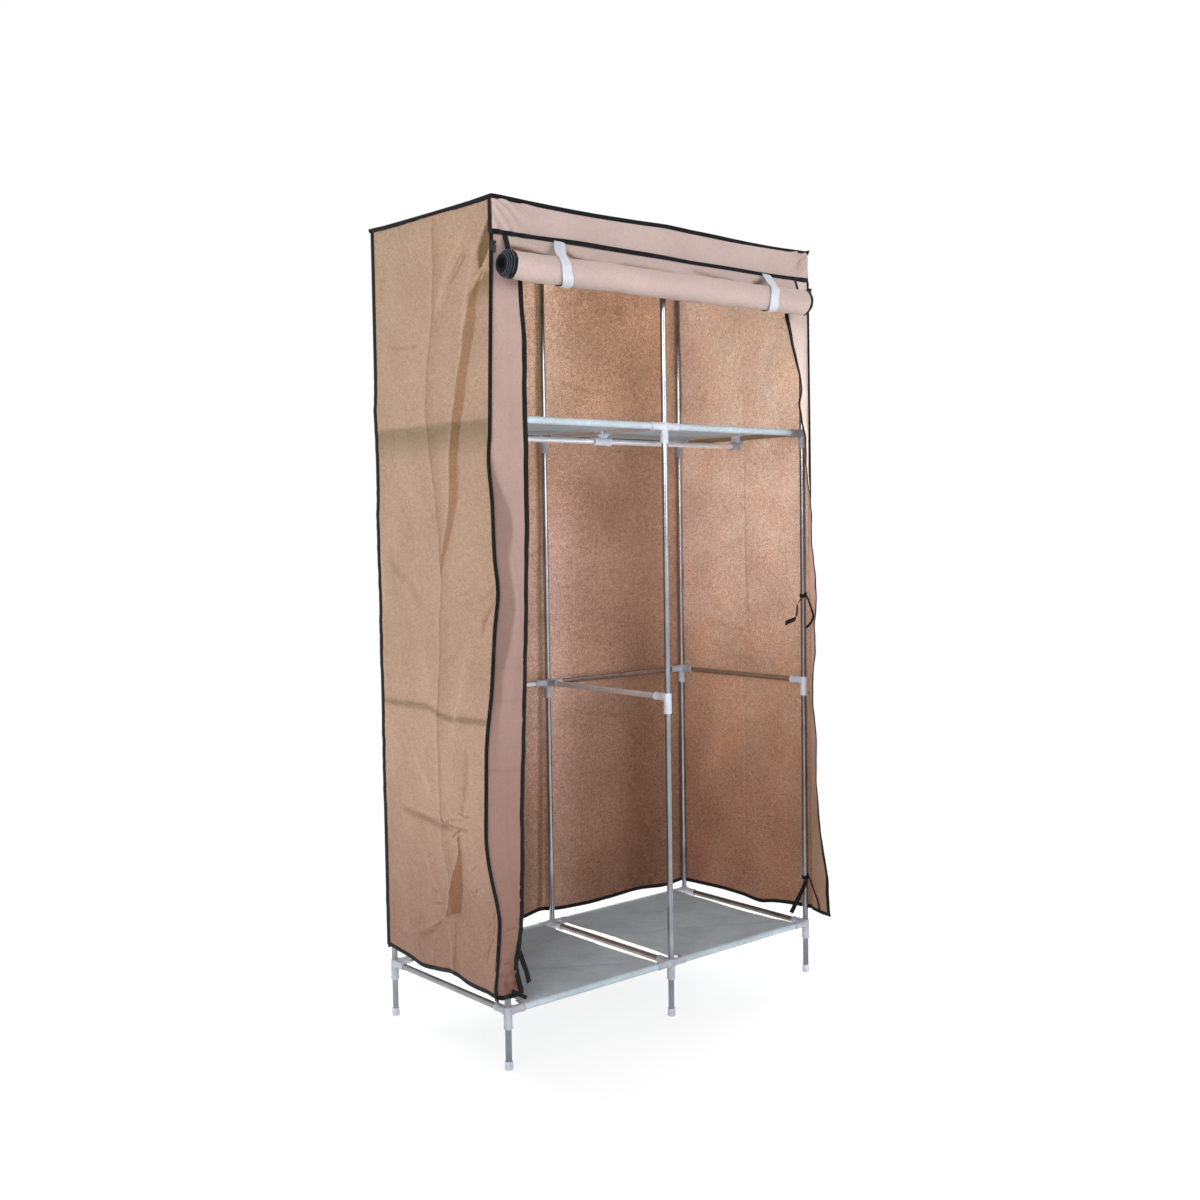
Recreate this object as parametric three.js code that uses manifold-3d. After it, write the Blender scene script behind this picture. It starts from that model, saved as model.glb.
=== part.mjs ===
// A portable fabric wardrobe: a push-together steel tube frame with moulded plastic joints,
// four sleeved fabric shelves, a hanging rod on clips, and a non-woven cover with its door rolled up.
// Millimetres. X runs across the front, Y from front to back, Z up. The floor is Z = 0.
import * as THREE from "three";
import { mergeVertices } from "three/addons/utils/BufferGeometryUtils.js";
import Module from "manifold-3d";

const wasm = await Module();
wasm.setup();

// Frame: distances between tube axes, and heights of the rail axes above the floor.
const frameWidth = 884;
const frameDepth = 416;
const bottomRailHeight = 117;
const middleRailHeight = 699;
const upperRailHeight = 1280;
const topRailHeight = 1686;

// Tubes, and the gap that pushed-together or touching pieces keep.
const tubeDiameter = 13;
const tubeWall = 0.6;
const fitGap = 0.3;
const runningGap = 0.4;
const overrun = 2;
const tubeSides = 8;

// Moulded joints: a sleeve round the upright with sockets for the rails.
const sleeveWall = 2.1;
const sleeveMouthWall = 2.6;
const sleeveBelow = 36;
const sleeveAbove = 8.5;
const socketReach = 39;
const socketRootWall = 1.5;
const socketFloor = 12;
const mouthChamfer = 0.8;

// Foot caps.
const capHeight = 17;
const capWall = 1.8;
const capFloor = 3;
const capChamfer = 1.2;

// Hanging rod and its clips.
const rodDrop = 20.5;
const clipWall = 2.2;
const clipWidth = 18;
const clipBarrelReach = 22;
const clipFlangeWall = 1.6;
const clipFlangeLength = 3;
const clipMouthAngle = 100;
const clipNeckWidth = 15;
const clipNeckFlare = 2.5;
const clipSteps = 9;

// Shelves: a sheet with a sleeve along its front and back edges.
const shelfCloth = 1.2;
const shelfSag = 5;
const shelfHollow = 14;
const shelfSteps = 6;
const shelfDepthSteps = 4;

// Cover cloth and its edges.
const cloth = 1.2;
const coverGap = 0.8;
const bandHeight = 66;
const hemHeight = 146;
const flapWidth = 76;
const leftFlapWidth = 82;
const topSag = 5;
const topEdgeSag = 2.5;
const topPeak = 1.5;
const topSeamGap = 0.8;
const peakDepthShare = 0.25;
const peakBayShare = 0.5;
const backBelly = 3;
const sideBelly = 9;
const cornerBulge = 44;
const pressedFold = 2.5;
const flapCurl = 7;
const curlStartShare = 0.25;
const coverSteps = 16;
const sideSteps = 8;
const backHeightSteps = 8;
const topDepthSteps = 6;
const bandHeightSteps = 2;

// Zip tapes on the front corners, each with one slider and pull.
const tapeThickness = 1.6;
const tapeReach = 4;
const beadRadius = 1.2;
const zipRestBelowBand = 16;
const zipTravel = 340;
const leftCornerAtBand = 12;
const leftCornerAtRunEnd = 24;
const rightCornerAtBand = 10;
const rightCornerAtRunEnd = 13;
const sliderHeight = 18;
const sliderWall = 2.2;
const sliderNose = 1.6;
const sliderBackGap = 0.8;
const pullLength = 21;
const pullWidth = 7;
const pullThickness = 1.4;
const pullEyeWall = 1;
const pullNeckGap = 0.8;
const pinRadius = 1;
const lugWidth = 2.2;
const lugReach = 4;
const lugHeight = 5;

// The rolled door and its two straps.
const rollRadius = 28;
const rollTurns = 3;
const rollCoreRadius = 11;
const rollLeftOut = 7;
const rollRightIn = 55;
const rollForward = 54;
const rollDrop = 59;
const doorCloth = 1.4;
const rollStepsPerTurn = 18;
const strapWidth = 25;
const strapThickness = 1.2;
const leftStrapIn = 128;
const rightStrapIn = 176;
const strapSteps = 14;
const strapLegShare = 0.7;

// Sizes that follow from those above.
const tubeRadius = tubeDiameter / 2;
const halfWidth = frameWidth / 2;
const halfDepth = frameDepth / 2;
const sleeveRadius = tubeRadius + sleeveWall;
const coverOut = tubeRadius + sleeveMouthWall + coverGap;
const topUnder = topRailHeight + tubeRadius + sleeveMouthWall + coverGap / 2;
const bandBottom = topUnder - bandHeight;
const coverFront = -coverOut;
const zipRest = bandBottom - zipRestBelowBand;
const zipRunEnd = zipRest - sliderHeight - zipTravel;
const rollCentreHeight = bandBottom - rollDrop;

const levels = {
  bottom: bottomRailHeight,
  middle: middleRailHeight,
  upper: upperRailHeight,
  top: topRailHeight,
};

const steel = new THREE.MeshStandardMaterial({ color: 0xb9bfc2, roughness: 0.32, metalness: 0.9 });
const milky = new THREE.MeshStandardMaterial({ color: 0xe6e8ee, roughness: 0.45, metalness: 0 });
const shelfFabric = new THREE.MeshStandardMaterial({ color: 0xb4bcbc, roughness: 0.9, metalness: 0 });
const coverFabric = new THREE.MeshStandardMaterial({ color: 0xa98a72, roughness: 0.95, metalness: 0 });
const blackTape = new THREE.MeshStandardMaterial({ color: 0x24252c, roughness: 0.8, metalness: 0 });
const whiteTape = new THREE.MeshStandardMaterial({ color: 0xe9ecf4, roughness: 0.8, metalness: 0 });
const blackMetal = new THREE.MeshStandardMaterial({ color: 0x202126, roughness: 0.4, metalness: 0.6 });

const wardrobe = new THREE.Group();
// The part's origin is on the floor, in the middle of its whole reach across and from front to back.
const reachFront = Math.max(coverOut + flapWidth, rollForward + rollRadius + strapThickness);
const reachBack = frameDepth + coverOut + cloth + backBelly;
const reachLeft = halfWidth + cornerBulge;
const reachRight = halfWidth + coverOut + sideBelly + cloth;
wardrobe.position.set((reachLeft - reachRight) / 2, -(reachBack - reachFront) / 2, 0);

// Solid shapes

const weldDistance = 1e-4;
// How far beside a point of a sheet its slope is taken, as a share of one step.
const slopeShare = 0.125;

function solidOf(geometry) {
  const bare = geometry.clone();
  bare.deleteAttribute("normal");
  bare.deleteAttribute("uv");
  const merged = mergeVertices(bare, weldDistance);
  return new wasm.Manifold(
    new wasm.Mesh({
      numProp: 3,
      vertProperties: merged.attributes.position.array,
      triVerts: new Uint32Array(merged.index.array),
    }),
  );
}

function geometryOf(solid) {
  const mesh = solid.getMesh();
  const geometry = new THREE.BufferGeometry();
  geometry.setAttribute("position", new THREE.BufferAttribute(mesh.vertProperties, 3));
  geometry.setIndex(new THREE.BufferAttribute(mesh.triVerts, 1));
  geometry.computeVertexNormals();
  return geometry;
}

function add(name, geometry, material, parent = wardrobe) {
  const mesh = new THREE.Mesh(geometry, material.clone());
  mesh.name = name;
  parent.add(mesh);
  return mesh;
}

// A turned solid about Z from [radius, height] pairs that start and end on the axis.
function turned(profile, sides = tubeSides) {
  const points = profile.map(([radius, height]) => new THREE.Vector2(radius, height));
  return new THREE.LatheGeometry(points, sides).rotateX(Math.PI / 2);
}

// A turned ring about Z: the profile closes on itself.
function turnedRing(profile, sides = tubeSides) {
  return turned([...profile, profile[0]], sides);
}

// Turns a shape made along +Z so that it points along the given direction.
function pointed(geometry, direction) {
  const turn = new THREE.Quaternion().setFromUnitVectors(new THREE.Vector3(0, 0, 1), direction);
  return geometry.clone().applyQuaternion(turn);
}

const along = {
  left: new THREE.Vector3(-1, 0, 0),
  right: new THREE.Vector3(1, 0, 0),
  front: new THREE.Vector3(0, -1, 0),
  back: new THREE.Vector3(0, 1, 0),
};

// A cylinder from one height to another.
function bar(radius, from, to, sides = tubeSides) {
  return turned([[0, from], [radius, from], [radius, to], [0, to]], sides);
}

// An open steel tube along +Z, starting at zero.
function tube(length) {
  const inner = tubeRadius - tubeWall;
  return turnedRing([[tubeRadius, 0], [tubeRadius, length], [inner, length], [inner, 0]]);
}

// A closed solid through a list of equal rings of points, capped at both ends.
function lofted(rings) {
  const count = rings[0].length;
  const positions = rings.flat(2);
  const index = [];
  for (let row = 0; row + 1 < rings.length; row++) {
    for (let k = 0; k < count; k++) {
      const a = row * count + k;
      const b = row * count + ((k + 1) % count);
      index.push(a, b, b + count, a, b + count, a + count);
    }
  }
  const outline = capOutline(rings[0]);
  const last = (rings.length - 1) * count;
  for (const [a, b, c] of THREE.ShapeUtils.triangulateShape(outline, [])) {
    index.push(a, c, b, last + a, last + b, last + c);
  }
  const geometry = new THREE.BufferGeometry();
  geometry.setAttribute("position", new THREE.Float32BufferAttribute(positions, 3));
  geometry.setIndex(index);
  return outward(geometry);
}

// The ring's points seen square to its own plane, for filling its cap.
function capOutline(ring) {
  const points = ring.map((p) => new THREE.Vector3(...p));
  const normal = new THREE.Vector3();
  points.forEach((p, k) => normal.add(p.clone().cross(points[(k + 1) % points.length])));
  normal.normalize();
  const flat = new THREE.Quaternion().setFromUnitVectors(normal, new THREE.Vector3(0, 0, 1));
  return points.map((p) => {
    const q = p.applyQuaternion(flat);
    return new THREE.Vector2(q.x, q.y);
  });
}

// Turns every face round when the solid came out inside out.
function outward(geometry) {
  const index = geometry.index.array;
  const position = geometry.attributes.position;
  const [a, b, c] = [new THREE.Vector3(), new THREE.Vector3(), new THREE.Vector3()];
  let volume = 0;
  for (let i = 0; i < index.length; i += 3) {
    a.fromBufferAttribute(position, index[i]);
    b.fromBufferAttribute(position, index[i + 1]);
    c.fromBufferAttribute(position, index[i + 2]);
    volume += a.dot(b.cross(c));
  }
  if (volume < 0) {
    for (let i = 0; i < index.length; i += 3) {
      [index[i + 1], index[i + 2]] = [index[i + 2], index[i + 1]];
    }
  }
  return geometry;
}

// Even shares from 0 to 1.
function evenly(steps) {
  return Array.from({ length: steps + 1 }, (_, k) => k / steps);
}

// A sheet of cloth with thickness: point(u, v) gives its middle surface for u and v from 0 to 1,
// with uSteps even columns and one row for each share in rows.
function sheet(uSteps, rows, thickness, point) {
  const vSteps = rows.length - 1;
  const nudge = slopeShare / Math.max(uSteps, vSteps);
  const positions = [];
  const faces = [];
  for (const side of [-1, 1]) {
    for (let j = 0; j <= vSteps; j++) {
      for (let i = 0; i <= uSteps; i++) {
        const u = i / uSteps;
        const v = rows[j];
        const across = point(Math.min(u + nudge, 1), v).sub(point(Math.max(u - nudge, 0), v));
        const up = point(u, Math.min(v + nudge, 1)).sub(point(u, Math.max(v - nudge, 0)));
        const normal = across.cross(up).normalize();
        positions.push(...point(u, v).addScaledVector(normal, (side * thickness) / 2).toArray());
      }
    }
  }
  const rowLength = uSteps + 1;
  const layer = rowLength * (vSteps + 1);
  const quad = (a, b, c, d) => faces.push(a, b, c, a, c, d);
  for (let j = 0; j < vSteps; j++) {
    for (let i = 0; i < uSteps; i++) {
      const a = j * rowLength + i;
      quad(layer + a, layer + a + 1, layer + a + rowLength + 1, layer + a + rowLength);
      quad(a, a + rowLength, a + rowLength + 1, a + 1);
    }
  }
  const rim = [];
  for (let i = 0; i < uSteps; i++) {
    rim.push(i);
  }
  for (let j = 0; j < vSteps; j++) {
    rim.push(j * rowLength + uSteps);
  }
  for (let i = uSteps; i > 0; i--) {
    rim.push(vSteps * rowLength + i);
  }
  for (let j = vSteps; j > 0; j--) {
    rim.push(j * rowLength);
  }
  rim.forEach((a, k) => {
    const b = rim[(k + 1) % rim.length];
    quad(a, b, b + layer, a + layer);
  });
  const geometry = new THREE.BufferGeometry();
  geometry.setAttribute("position", new THREE.Float32BufferAttribute(positions, 3));
  geometry.setIndex(faces);
  return outward(geometry);
}

// Straight lines between [share, value] pairs that run from share 0 to share 1.
function between(pairs, share) {
  for (let k = 1; k < pairs.length; k++) {
    if (share <= pairs[k][0]) {
      const [from, low] = pairs[k - 1];
      const [to, high] = pairs[k];
      return THREE.MathUtils.lerp(low, high, (share - from) / (to - from));
    }
  }
  return pairs[pairs.length - 1][1];
}

// Posts: six uprights, each one solid with its foot cap and its four moulded joints

// One moulded joint round an upright, solid for now: its bores are cut with the whole post.
function joint(height, directions) {
  const foot = height - sleeveBelow;
  const head = height + sleeveAbove;
  const mouth = tubeRadius + sleeveMouthWall;
  const sleeve = turned([
    [0, foot],
    [mouth - mouthChamfer, foot],
    [mouth, foot + mouthChamfer],
    [sleeveRadius, head - mouthChamfer],
    [sleeveRadius - mouthChamfer, head],
    [0, head],
  ]);
  const socket = turned([
    [0, 0],
    [tubeRadius + socketRootWall, 0],
    [sleeveRadius, socketReach - mouthChamfer],
    [sleeveRadius - mouthChamfer, socketReach],
    [0, socketReach],
  ]);
  let body = solidOf(sleeve);
  for (const direction of directions) {
    body = body.add(solidOf(pointed(socket, along[direction]).translate(0, 0, height)));
  }
  return body;
}

function footCap() {
  const radius = tubeRadius + capWall;
  return turned([
    [0, 0],
    [radius - capChamfer, 0],
    [radius, capChamfer],
    [radius, capHeight - mouthChamfer],
    [radius - mouthChamfer, capHeight],
    [0, capHeight],
  ]);
}

function post(across, deep, name) {
  const sideways = { left: ["right"], middle: ["left", "right"], right: ["left"] }[across];
  const inward = deep === "front" ? "back" : "front";
  const head = topRailHeight + sleeveAbove;
  let body = solidOf(bar(tubeRadius, capFloor, head - mouthChamfer));
  body = body.add(solidOf(footCap()));
  const sockets = [];
  for (const [level, height] of Object.entries(levels)) {
    const bare = level === "middle" && deep === "front";
    const directions = bare ? [inward] : [...sideways, inward];
    body = body.add(joint(height, directions));
    directions.forEach((direction) => sockets.push([direction, height]));
  }
  body = body.subtract(solidOf(bar(tubeRadius - tubeWall, capFloor, head + overrun)));
  const hole = bar(tubeRadius + fitGap, socketFloor, socketReach + overrun);
  for (const [direction, height] of sockets) {
    body = body.subtract(solidOf(pointed(hole, along[direction]).translate(0, 0, height)));
  }
  const mesh = add(name, geometryOf(body), milky);
  mesh.position.set(postX(across), postY(deep), 0);
}

function postX(across) {
  return { left: -halfWidth, middle: 0, right: halfWidth }[across];
}

function postY(deep) {
  return { front: 0, back: frameDepth }[deep];
}

for (const deep of ["front", "back"]) {
  for (const across of ["left", "middle", "right"]) {
    post(across, deep, `post_${deep}_${across}`);
  }
}

// Rails: open tubes whose ends stand in the sockets

const railEnd = socketFloor + fitGap;

function crossRail(level, deep, side) {
  const mesh = add(
    `rail_${level}_${deep}_${side}`,
    pointed(tube(halfWidth - 2 * railEnd), along.right),
    steel,
  );
  mesh.position.set((side === "left" ? -halfWidth : 0) + railEnd, postY(deep), levels[level]);
}

function sideRail(level, across) {
  const mesh = add(
    `rail_${level}_side_${across}`,
    pointed(tube(frameDepth - 2 * railEnd), along.back),
    steel,
  );
  mesh.position.set(postX(across), railEnd, levels[level]);
}

for (const level of Object.keys(levels)) {
  for (const side of ["left", "right"]) {
    if (level !== "middle") {
      crossRail(level, "front", side);
    }
    crossRail(level, "back", side);
  }
  for (const across of ["left", "middle", "right"]) {
    sideRail(level, across);
  }
}

// Shelves: two bays at the bottom level and two at the upper one

function shelf(level, side) {
  const from = socketReach + fitGap;
  const span = halfWidth - 2 * from;
  const inner = tubeRadius + fitGap;
  const outer = inner + shelfCloth;
  const left = (side === "left" ? -halfWidth : 0) + from;
  const height = levels[level];
  const sleeve = turnedRing([[outer, 0], [outer, span], [inner, span], [inner, 0]]);
  const ring = (y) => solidOf(pointed(sleeve, along.right).translate(left, y, height));
  const panel = sheet(shelfSteps, evenly(shelfDepthSteps), shelfCloth, (u, v) => {
    const drawnIn = shelfHollow * Math.sin(Math.PI * v) * (1 - 2 * u);
    const sag = shelfSag * Math.sin(Math.PI * u) * Math.sin(Math.PI * v);
    const top = height + inner * Math.cos(Math.PI / tubeSides) + shelfCloth / 2;
    return new THREE.Vector3(left + span * u + drawnIn, frameDepth * v, top - sag);
  });
  const bores = [0, frameDepth].map((y) =>
    solidOf(pointed(bar(inner, -overrun, span + overrun), along.right).translate(left, y, height)),
  );
  const body = ring(0).add(ring(frameDepth)).add(solidOf(panel));
  const open = body.subtract(bores[0]).subtract(bores[1]);
  add(`shelf_${level}_${side}`, geometryOf(open), shelfFabric);
}

for (const level of ["bottom", "upper"]) {
  for (const side of ["left", "right"]) {
    shelf(level, side);
  }
}

// Hanging rod: two tubes held by three clips that slide on the upper side rails

const rodHeight = upperRailHeight - rodDrop;

// A clip grips the rail above it with an open jaw and holds the rod ends in a barrel below.
function rodClip(across, reaches) {
  const jawInner = tubeRadius + runningGap;
  const jawOuter = jawInner + clipWall;
  const half = THREE.MathUtils.degToRad(clipMouthAngle / 2);
  const jaw = [];
  for (let k = 0; k <= clipSteps; k++) {
    const angle = Math.PI / 2 + half + (k / clipSteps) * (2 * Math.PI - 2 * half);
    jaw.push([jawOuter * Math.cos(angle), jawOuter * Math.sin(angle)]);
  }
  for (let k = clipSteps; k >= 0; k--) {
    const angle = Math.PI / 2 + half + (k / clipSteps) * (2 * Math.PI - 2 * half);
    jaw.push([jawInner * Math.cos(angle), jawInner * Math.sin(angle)]);
  }
  const barrelRadius = tubeRadius + fitGap + clipWall;
  const neckFoot = -rodDrop + tubeRadius + fitGap;
  const neckHead = -jawInner - clipWall / 2;
  const neck = [
    [-clipNeckWidth / 2, neckFoot],
    [clipNeckWidth / 2, neckFoot],
    [clipNeckWidth / 2 + clipNeckFlare, neckHead],
    [-clipNeckWidth / 2 - clipNeckFlare, neckHead],
  ];
  const swept = (outline, width) => {
    const rings = [-width / 2, width / 2].map((y) => outline.map(([x, z]) => [x, y, z]));
    return solidOf(lofted(rings));
  };
  const [back, front] = reaches;
  const flange = barrelRadius + clipFlangeWall;
  const barrel = turned([
    [0, back],
    [flange, back],
    [barrelRadius, back + clipFlangeLength],
    [barrelRadius, front - clipFlangeLength],
    [flange, front],
    [0, front],
  ]);
  let body = swept(jaw, clipWidth);
  body = body.add(swept(neck, clipWidth));
  body = body.add(solidOf(pointed(barrel, along.right).translate(0, 0, -rodDrop)));
  const keepOut = bar(jawInner, -overrun - clipWidth, clipWidth + overrun);
  body = body.subtract(solidOf(pointed(keepOut, along.back)));
  const hole = bar(tubeRadius + fitGap, clipWall / 2, clipBarrelReach + overrun);
  if (front > clipWall) {
    body = body.subtract(solidOf(pointed(hole, along.right).translate(0, 0, -rodDrop)));
  }
  if (back < -clipWall) {
    body = body.subtract(solidOf(pointed(hole, along.left).translate(0, 0, -rodDrop)));
  }
  const mesh = add(`rod_clip_${across}`, geometryOf(body), milky);
  mesh.position.set(postX(across), halfDepth, upperRailHeight);
}

const clipShut = -clipWall / 2 - clipFlangeLength;
rodClip("left", [clipShut, clipBarrelReach]);
rodClip("middle", [-clipBarrelReach, clipBarrelReach]);
rodClip("right", [-clipBarrelReach, -clipShut]);

for (const side of ["left", "right"]) {
  const from = clipWall / 2 + fitGap;
  const mesh = add(
    `hanging_rod_${side}`,
    pointed(tube(halfWidth - 2 * from), along.right),
    steel,
  );
  mesh.position.set((side === "left" ? -halfWidth : 0) + from, halfDepth, rodHeight);
}

// Cover: its front corners stand out from the posts by shares of the corner bulge.
// Each pair is [share of the height from hem to band, share of the bulge].
const leftCornerShares = [
  [0, 0.72],
  [0.1, 0.5],
  [0.19, 0.8],
  [0.24, 0.95],
  [0.34, 1],
  [0.4, 0.75],
  [0.48, 0.5],
  [0.54, 0.32],
  [0.66, 0.5],
];
// Each pair is [share of the height from hem to band, share of a half turn] of the right flap.
const rightSwingShares = [
  [0, 0.49],
  [0.1, 0.5],
  [0.19, 0.63],
  [0.29, 0.65],
  [0.34, 0.74],
  [0.4, 0.67],
  [0.48, 0.64],
  [0.54, 0.65],
  [0.66, 0.73],
  [0.73, 0.79],
  [0.8, 0.85],
  [0.85, 0.85],
  [0.94, 0.99],
  [1, 1],
];
// Each pair is [share of the height from hem to band, share of the left flap's width].
const leftFlapShares = [
  [0, 0.68],
  [0.1, 0.68],
  [0.2, 0.94],
  [0.4, 1],
  [1, 0.92],
];
const rightCornerLowBulge = 17;

const panelHeight = bandBottom - fitGap - hemHeight;
const runEndShare = (zipRunEnd - hemHeight) / panelHeight;

// Everything that follows a front corner has its rows at these shares of the height.
const tableHeights = [...leftCornerShares, ...rightSwingShares].map(([share]) => share);
const cornerRows = [...new Set([...tableHeights, runEndShare])].sort((a, b) => a - b);

function heightAt(share) {
  return hemHeight + panelHeight * share;
}

// How far a front corner stands outside its post's axis. The zip's run is one straight line.
function cornerOut(side, share) {
  const [atBand, atEnd] =
    side === "left"
      ? [leftCornerAtBand, leftCornerAtRunEnd]
      : [rightCornerAtBand, rightCornerAtRunEnd];
  if (share >= runEndShare) {
    return THREE.MathUtils.lerp(atEnd, atBand, (share - runEndShare) / (1 - runEndShare));
  }
  if (side === "right") {
    return THREE.MathUtils.lerp(rightCornerLowBulge, atEnd, share / runEndShare);
  }
  const bulges = leftCornerShares.filter(([height]) => height < runEndShare);
  const lengths = bulges.map(([height, part]) => [height, part * cornerBulge]);
  return between([...lengths, [runEndShare, atEnd]], share);
}

function sideSign(side) {
  return side === "left" ? -1 : 1;
}

const topReach = halfWidth + coverOut + cloth;

// How far the top panel lies above its level: peaks over the posts, sags between them.
function topLift(x, y) {
  const bay = Math.abs(Math.sin((Math.PI * x) / halfWidth));
  const depthShare = THREE.MathUtils.clamp(y / frameDepth, 0, 1);
  const sag = topEdgeSag * bay ** 2 + topSag * bay * Math.sin(Math.PI * depthShare);
  const fromEdge = Math.min(depthShare, 1 - depthShare);
  const nearPost = Math.max(0, 1 - bay / peakBayShare);
  const nearEdge = Math.max(0, 1 - fromEdge / (peakDepthShare / 2));
  return topPeak * nearPost * nearEdge - sag;
}

// Side panel: from the back edge to the front corner, with a pressed upright fold.
const foldPlaceShare = 0.5;
const foldWidthShare = 0.13;
const bandShare = 0.95;

const panelRows = [...cornerRows.map((share) => share * bandShare), 1];

function sidePanel(side) {
  const sign = sideSign(side);
  const front = coverFront + cloth / 2 + fitGap;
  const back = frameDepth + coverOut;
  const flat = halfWidth + coverOut + cloth / 2;
  const geometry = sheet(sideSteps, panelRows, cloth, (u, v) => {
    const share = Math.min(v / bandShare, 1);
    const y = THREE.MathUtils.lerp(front, back, u);
    const edge = topUnder + topLift(topReach, y) - topSeamGap;
    const height = v <= bandShare
      ? heightAt(share)
      : THREE.MathUtils.lerp(heightAt(1), edge, (v - bandShare) / (1 - bandShare));
    const corner = Math.max(halfWidth + cornerOut(side, share), flat);
    const swell = sideBelly * Math.sin(Math.PI * u) * Math.sin(Math.PI * share);
    const fold = pressedFold * Math.max(0, 1 - Math.abs(u - foldPlaceShare) / foldWidthShare);
    const out = THREE.MathUtils.lerp(corner, flat, Math.sin((Math.PI / 2) * u));
    const reach = out + swell + fold * Math.sin(Math.PI * share);
    return new THREE.Vector3(sign * reach, y, height);
  });
  add(`cover_side_${side}`, geometry, coverFabric);
}

sidePanel("left");
sidePanel("right");

// Back panel: flat at its edges, with shallow upright waves that deepen towards the hem.
const backWaves = 3;

function backPanel() {
  const reach = halfWidth + coverOut - fitGap;
  const flat = frameDepth + coverOut + cloth / 2;
  const geometry = sheet(coverSteps, evenly(backHeightSteps), cloth, (u, v) => {
    const x = THREE.MathUtils.lerp(-reach, reach, u);
    const wave = Math.sin(Math.PI * backWaves * u) ** 2;
    const edge = topUnder + topLift(x, frameDepth) - topSeamGap;
    const height = THREE.MathUtils.lerp(hemHeight, edge, v);
    return new THREE.Vector3(x, flat + backBelly * wave * (1 - v), height);
  });
  add("cover_back", geometry, coverFabric);
}

backPanel();

// Top panel, over the edges of the four upright ones.
function topPanel() {
  const geometry = sheet(coverSteps, evenly(topDepthSteps), cloth, (u, v) => {
    const x = THREE.MathUtils.lerp(-topReach, topReach, u);
    const y = THREE.MathUtils.lerp(coverFront - cloth, frameDepth + coverOut + cloth, v);
    return new THREE.Vector3(x, y, topUnder + cloth / 2 + topLift(x, y));
  });
  add("cover_top", geometry, coverFabric);
}

topPanel();

// Front band under the top edge: the door, the flaps and the zips all start below it.
function frontBand() {
  const geometry = sheet(coverSteps, evenly(bandHeightSteps), cloth, (u, v) => {
    const x = THREE.MathUtils.lerp(-topReach, topReach, u);
    const edge = topUnder + topLift(x, 0) - fitGap;
    const height = THREE.MathUtils.lerp(bandBottom, edge, v);
    return new THREE.Vector3(x, coverFront - cloth / 2, height);
  });
  add("cover_front_band", geometry, coverFabric);
}

frontBand();

// Zip tape: a narrow fin along the corner, with the bead of its teeth on the free edge.
function cornerPoint(side, share) {
  const x = sideSign(side) * (halfWidth + cornerOut(side, share));
  return new THREE.Vector3(x, coverFront, heightAt(share));
}

const beadAt = coverFront - tapeReach;

function zipTape(side) {
  const half = tapeThickness / 2;
  const section = [
    [-half, coverFront + cloth / 2],
    [half, coverFront + cloth / 2],
    [half, beadAt + beadRadius],
    [beadRadius, beadAt],
    [half, beadAt - beadRadius],
    [-half, beadAt - beadRadius],
    [-beadRadius, beadAt],
    [-half, beadAt + beadRadius],
  ];
  const rings = cornerRows.map((share) => {
    const corner = cornerPoint(side, share);
    return section.map(([x, y]) => [corner.x + x, y, corner.z]);
  });
  add(`zip_tape_${side}`, lofted(rings), blackTape);
}

zipTape("left");
zipTape("right");

// Slider: a moulded body that straddles the bead, with two lugs that hold the pull's pin.
const slotHalf = tapeThickness / 2 + runningGap;
const sliderHalf = slotHalf + sliderWall;
const channelHalf = beadRadius + runningGap;
const sliderFront = beadAt - channelHalf - sliderNose;
const sliderBack = coverFront - cloth / 2 - sliderBackGap;
const pinOut = lugReach - pinRadius - fitGap;
const waistShare = 0.55;

// A flat outline of [x, drop] points, given thickness from one y to another.
function slab(outline, from, to) {
  const rings = [from, to].map((y) => outline.map(([x, drop]) => [x, y, -drop]));
  return solidOf(lofted(rings));
}

function oblong(left, right, top, bottom) {
  return [
    [left, top],
    [right, top],
    [right, bottom],
    [left, bottom],
  ];
}

function sliderBody() {
  const waist = sliderHalf - sliderNose / 2;
  const outline = [
    [-sliderHalf, 0],
    [sliderHalf, 0],
    [waist, sliderHeight * waistShare],
    [sliderHalf, sliderHeight],
    [-sliderHalf, sliderHeight],
    [-waist, sliderHeight * waistShare],
  ];
  const through = (half) => oblong(-half, half, -overrun, sliderHeight + overrun);
  let body = slab(outline, sliderFront, sliderBack);
  body = body.subtract(slab(through(slotHalf), beadAt, sliderBack + overrun));
  body = body.subtract(slab(through(channelHalf), beadAt - channelHalf, beadAt + channelHalf));
  const lugX = pullWidth / 2 - lugWidth / 2;
  for (const x of [-lugX, lugX]) {
    const lug = oblong(x - lugWidth / 2, x + lugWidth / 2, 0, lugHeight);
    body = body.add(slab(lug, sliderFront - lugReach, sliderFront + sliderNose / 2));
  }
  const pin = pointed(bar(pinRadius, -lugX, lugX), along.right);
  return body.add(solidOf(pin.translate(0, sliderFront - pinOut, -lugHeight / 2)));
}

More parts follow.
